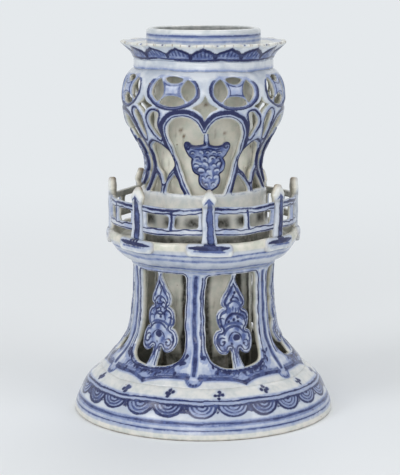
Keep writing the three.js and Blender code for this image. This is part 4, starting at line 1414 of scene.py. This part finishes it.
inset = 3.0 / (rail_radius * DEG)
for k, (start, end) in enumerate(bays):
    low_b, high_b = start + inset, end - inset
    wall = carve(upright(rail_radius), (low_b - 1, high_b + 1), (rail_low, rail_high), (0, 2.6),
                 panel_reach(low_b, high_b), step=0.42, edge=0.95)
    b, z, radius, depth = on_wall(wall)
    brush = Brush(len(b))
    wave = 0.3 * np.sin(b * 0.3 + k) + 0.15 * np.sin(b * 0.9 - k)
    middle = (b - (low_b + high_b) / 2) * DEG * radius
    heavy = 0.25 * np.sin(b * 0.17 + 2 * k)
    top_rail = np.minimum(z - 105.2 - wave, 107.2 + wave * 0.5 - z)
    low_rail = np.minimum(z - 95.4, 97.5 - wave - z)
    brush.outline(past(top_rail, low_rail), 0.8 + heavy)
    brush.line(z - 106.9 - wave * 0.5, 0.9 + heavy, 0.85 + 1.2 * heavy)
    brush.line(middle - 0.3, 1.1, 0.9, past(97 - z, z - 106.5))
    brush.ground(0.5 + heavy)
    brush.off(depth - 0.9)
    brush.warm = 0.1 + 0.8 * ease(depth, 0.6, 1.8)
    # Painted shade on the lights' sides and the back of the panel.
    brush.painted_shade = 0.55 * ease(depth, 1.2, 2.6)
    sag = 0.25 * np.sin((b - low_b) / (high_b - low_b) * math.pi) * rail_rng.normal(-0.6, 0.8)
    wall["z"] = z + sag
    add_carved(f"rail_panel_{k + 1}", wall, brush)

# %% [markdown]
# ## Neck, flange and mouth
# Over the coins runs a plain band. The flange above it flares out into eighteen petals: the rim
# draws in between two petals, and each petal has a dark pointed outline on its underside with
# stripes running up to it.

# %% Neck
neck_profile = soften(np.array([[30.4, 170.4], [34.75, 170.4], [34.3, 173.0], [34.4, 175.6],
                                [30.4, 175.6]]), 2)
neck = turned(resample(neck_profile, 0.4), 560)
brush = Brush(len(neck["z"]))
brush.soft(neck["z"] - 171.3, 0.9, 1.2, 33 - neck["radius"])
brush.ground(0.35, neck["z"] - 172.4)
brush.ground(0.1)
brush.warm = 0.9 * ease(neck["radius"], 33, 32)
# Painted shade on the ring's inner side.
brush.painted_shade = 0.8 * ease(neck["radius"], 32.5, 31)
add_turned("neck_ring", neck, brush)

# %% Flange
flare = curve([[34.4, 175.3], [35.8, 177.9], [37.8, 179.9], [40.7, 182.6]], 30)
flange_profile = np.vstack([flare, [[40.98, 183.1]], [[40.9, 183.7]], [[40.2, 183.98]],
                            curve([[38.0, 183.6], [35, 182.9], [32, 182.5]], 8),
                            [[24.9, 182.5]], [[24.9, 179.9]], [[30.4, 179.9]],
                            [[30.4, 175.3]]])
flange = turned(resample(flange_profile, 0.36), 640)
petal_pitch = 20
half_petal = petal_pitch / 2
petal = along(flange["bearing"], petal_pitch * np.round(flange["bearing"] / petal_pitch))
swell = 1 - (np.abs(petal) / half_petal) ** 1.7
outward = ease(flange["radius"], 35.5, 40.6)
flange["radius"] = flange["radius"] - 2.0 * (1 - swell) * outward
flange["z"] = flange["z"] - 0.5 * (1 - swell) * outward * ease(flange["z"], 182.0, 183.5)


def paint_flange(form):
    """Each petal's outline climbs steeply from its notch and bends to a point at its tip. Its
    face is washed dark, with strokes that run up to the outline and a dab in the notch."""
    b, z = form["bearing"], form["z"]
    brush = Brush(len(b))
    inner = (34 - form["radius"]) + np.where(z > 182.9, 3.0, 0.0)
    share = np.abs(petal) / half_petal
    tip = 177.7 + 3.7 * (1 - share) ** 0.52 + 0.3 * ease(share, 0.12, 0.0)
    brush.line((z - tip) * 0.8, 1.15, 1.0, inner)
    to_notch = (half_petal - np.abs(petal)) * DEG
    brush.lay(np.hypot(to_notch * 36, (z - 178.0) * 0.7) - 1.0, 1.0, inner)
    brush.ground(1.6, past(z - tip, 176.4 - z, inner))
    stripe = np.abs((np.abs(petal) % 2.9) - 1.45) * DEG * 37
    brush.line(stripe, 0.7, 0.5, past(z - tip + 0.7, 177.9 - z, inner))
    brush.line(z - 176.2, 0.9, 1.0, inner)
    brush.ground(0.3, past(inner, z - 178.4))
    over = 182.9 - z
    brush.line(to_notch * 39, 0.9, 0.5, past(over, 36 - form["radius"]))
    brush.ground(0.6, past(over, np.abs(form["radius"] - 36.5) - 1.6))
    brush.off(np.where(form["radius"] < 33.6, 3.0, 0.0))
    brush.warm = np.where(form["radius"] < 33.6, 0.8, 0.55 * ease(z, 181.5, 182.8))
    spots = np.sin(b * 1.7 + 1) * np.sin(b * 0.61 + 2) * np.sin(b * 3.3)
    brush.kiln = 0.9 * ease(spots, 0.3, 0.6) * ease(z, 182.4, 183.0) * (form["radius"] > 38)
    # Painted shade low in the flange's bore.
    brush.painted_shade = 0.7 * ease(form["radius"], 31.5, 30.5) * ease(z, 181, 180)
    return brush


add_turned("petal_flange", flange, paint_flange(flange))

# %% Mouth
lip = [[26.2 + 1.8 * math.cos(t), 188.2 + 1.8 * math.sin(t)] for t in np.linspace(0, math.pi, 24)]
mouth_profile = np.vstack([[[28.0, 182.3]], lip, [[24.4, 182.3]]])
mouth = turned(resample(mouth_profile, 0.4), 460)
brush = Brush(len(mouth["z"]))
inward = 27 - mouth["radius"]
brush.line(mouth["z"] - 187.0, 0.8, 0.2 + 0.5 * np.sin(mouth["bearing"] * DEG), inward)
brush.soft(mouth["z"] - 186.6, 1.4, 1.2, inward)
brush.soft(mouth["z"] - 184.4, 1.1, 1.2, inward)
brush.ground(0.45, np.maximum(mouth["z"] - 187.4, inward))
brush.warm = np.where(inward < 0, 0.15, 0.3)
# Painted shade on the mouth's inner face.
brush.painted_shade = 0.6 * ease(mouth["radius"], 25.4, 24.6)
add_turned("mouth_collar", mouth, brush)

# %% [markdown]
# ## Sleeve
# Behind the openwork stands a plain tube in a thin, warm glaze. It is what shows through every
# hole, so it gets the marks of throwing, painted shade behind the pilasters, round the gallery
# and inside, and brown grit and pits from the firing.

# %% Sleeve
sleeve_outer, sleeve_inner = 24.6, 22.2
sleeve_low, sleeve_high = 12.0, 182.4
gallery_low, gallery_high = 76, 108
sleeve_profile = soften(np.array([[sleeve_outer, sleeve_low], [sleeve_outer, sleeve_high],
                                  [sleeve_inner, sleeve_high], [sleeve_inner, sleeve_low]]), 1)
sleeve = turned(resample(sleeve_profile, 1.5), 220)
rings = 0.06 * np.sin(sleeve["z"] * 1.15 + np.sin(sleeve["bearing"] * DEG))
sleeve["radius"] = sleeve["radius"] + rings
# Pits from the firing: bearing in degrees, height and size in mm.
sleeve_pits = [(-26, 141.7, 1.7), (1, 153.7, 1.4), (24, 140.2, 1.2), (-22, 139, 0.9),
               (70, 133, 1.3), (118, 150, 1.4), (170, 128, 1.2), (205, 143, 1.5), (-80, 136, 1.3)]


def paint_sleeve(form):
    """Warm glaze with painted shade: dark beside and behind the pilasters and low in the drum,
    round the gallery, a little high in the belly and on the inside; brown grit and firing pits."""
    b, z = form["bearing"], form["z"]
    brush = Brush(len(b))
    brush.warm[:] = 0.85
    middle = window_bearing - window_pitch / 2    # a pilaster's bearing
    side = along(b, middle + window_pitch * np.round((b - middle) / window_pitch))
    beside = np.where(side < 0, -side - 5.5, side) - 4 * ease(z, 46, 36)
    drum_shade = ease(beside, 16.5, 10.5) * (0.3 + 0.8 * ease(np.abs(side), 3, 9))
    drum_shade = np.maximum(drum_shade, 0.8 * ease(z, 35, 30))
    belly_shade = 0.1 * ease(z, 148, 158) + 0.2 * ease(z, 164, 170)
    shade = np.where(z > gallery_high, belly_shade, np.where(z > gallery_low, 0.7, drum_shade))
    # Painted shade on the outside by place, and all over the inside.
    brush.painted_shade = np.where(form["radius"] > 23.6, shade, 0.75)
    grit = np.sin(b * 0.37 + 0.11 * z) * np.sin(b * 0.23 - 0.19 * z)
    brush.kiln = 0.4 * ease(grit, 0.82, 0.98)
    for at_b, at_z, size in sleeve_pits:
        far = np.hypot(along(b, at_b) * DEG * sleeve_outer, z - at_z)
        brush.kiln = np.maximum(brush.kiln, ease(far, size, 0.4 * size))
    return brush


add_turned("inner_sleeve", sleeve, paint_sleeve(sleeve), slot="cream_porcelain")

# %% [markdown]
# ## Floor and light
# The photograph was taken on a pale ground without a horizon, in soft light. The floor here is
# real only near the stand, where it takes the shadow. Further out it fades into one flat tint,
# and the sky has that tint too, but only for the camera and for reflections, so the pale ground
# puts no extra light on the stand.

# %% Ground
ground_tint = tint(229, 233, 236)


def looked_at(start):
    """1 for a ray from the camera or from a reflection, 0 for any other."""
    return start.node("ShaderNodeLightPath").most(start.node("ShaderNodeLightPath", out=3))


floor_mesh = bpy.data.meshes.new("floor")
floor_mesh.from_pydata([(-4, -4, 0), (4, -4, 0), (4, 4, 0), (-4, 4, 0)], [], [(0, 1, 2, 3)])
floor = bpy.data.objects.new("floor", floor_mesh)
scene.collection.objects.link(floor)

paper = bpy.data.materials.new("paper")
paper.use_nodes = True
paper_tree = paper.node_tree
paper_shader = paper_tree.nodes["Principled BSDF"]
paper_shader.inputs["Base Color"].default_value = tint(232, 235, 237)
paper_shader.inputs["Roughness"].default_value = 0.9
paper_shader.inputs["Specular IOR Level"].default_value = 0.1
paper_start = Value(paper_tree, paper_shader.outputs[0])
place = paper_start.node("ShaderNodeTexCoord", out=3)
away = paper_start.node("ShaderNodeVectorMath", {"operation": "LENGTH"}, {0: place}, out=1)
flat = paper_start.node("ShaderNodeEmission", None, {"Color": ground_tint, "Strength": 1.0})
paper_mix = paper_start.node("ShaderNodeMixShader", None,
                             {0: away.ease(0.14, 0.8) * looked_at(paper_start),
                              1: paper_start, 2: flat})
paper_tree.links.new(paper_mix.socket, paper_tree.nodes["Material Output"].inputs["Surface"])
floor_mesh.materials.append(paper)

# %% Sky
world = bpy.data.worlds.new("sky")
scene.world = world
world.use_nodes = True
sky = world.node_tree.nodes["Background"]
sky_start = Value(world.node_tree, sky.outputs[0])
sky_colour = looked_at(sky_start).between((0.54, 0.545, 0.55, 1), ground_tint)
world.node_tree.links.new(sky_colour.socket, sky.inputs["Color"])
print("floor and sky")


# %% Lamps
def add_lamp(name, place, size, energy):
    """A square lamp that looks at the middle of the stand."""
    data = bpy.data.lights.new(name, "AREA")
    data.size = size
    data.energy = energy
    lamp = bpy.data.objects.new(name, data)
    scene.collection.objects.link(lamp)
    lamp.location = place
    aim = np.array([0, 0, 0.1]) - np.array(place)
    lamp.rotation_euler = (math.atan2(math.hypot(aim[0], aim[1]), -aim[2]), 0,
                           math.atan2(aim[1], aim[0]) - math.pi / 2)


lamps = {"left": ((-1.1, -0.85, 1.1), 0.6, 7.4), "right": ((1.1, -0.85, 1.0), 0.8, 4.6),
         "front": ((-0.25, -1.35, 0.5), 0.6, 4.6), "back": ((0.3, 0.9, 1.4), 0.9, 5)}
for name, (place, size, energy) in lamps.items():
    add_lamp(name, place, size, energy)
print(len(lamps), "lamps")
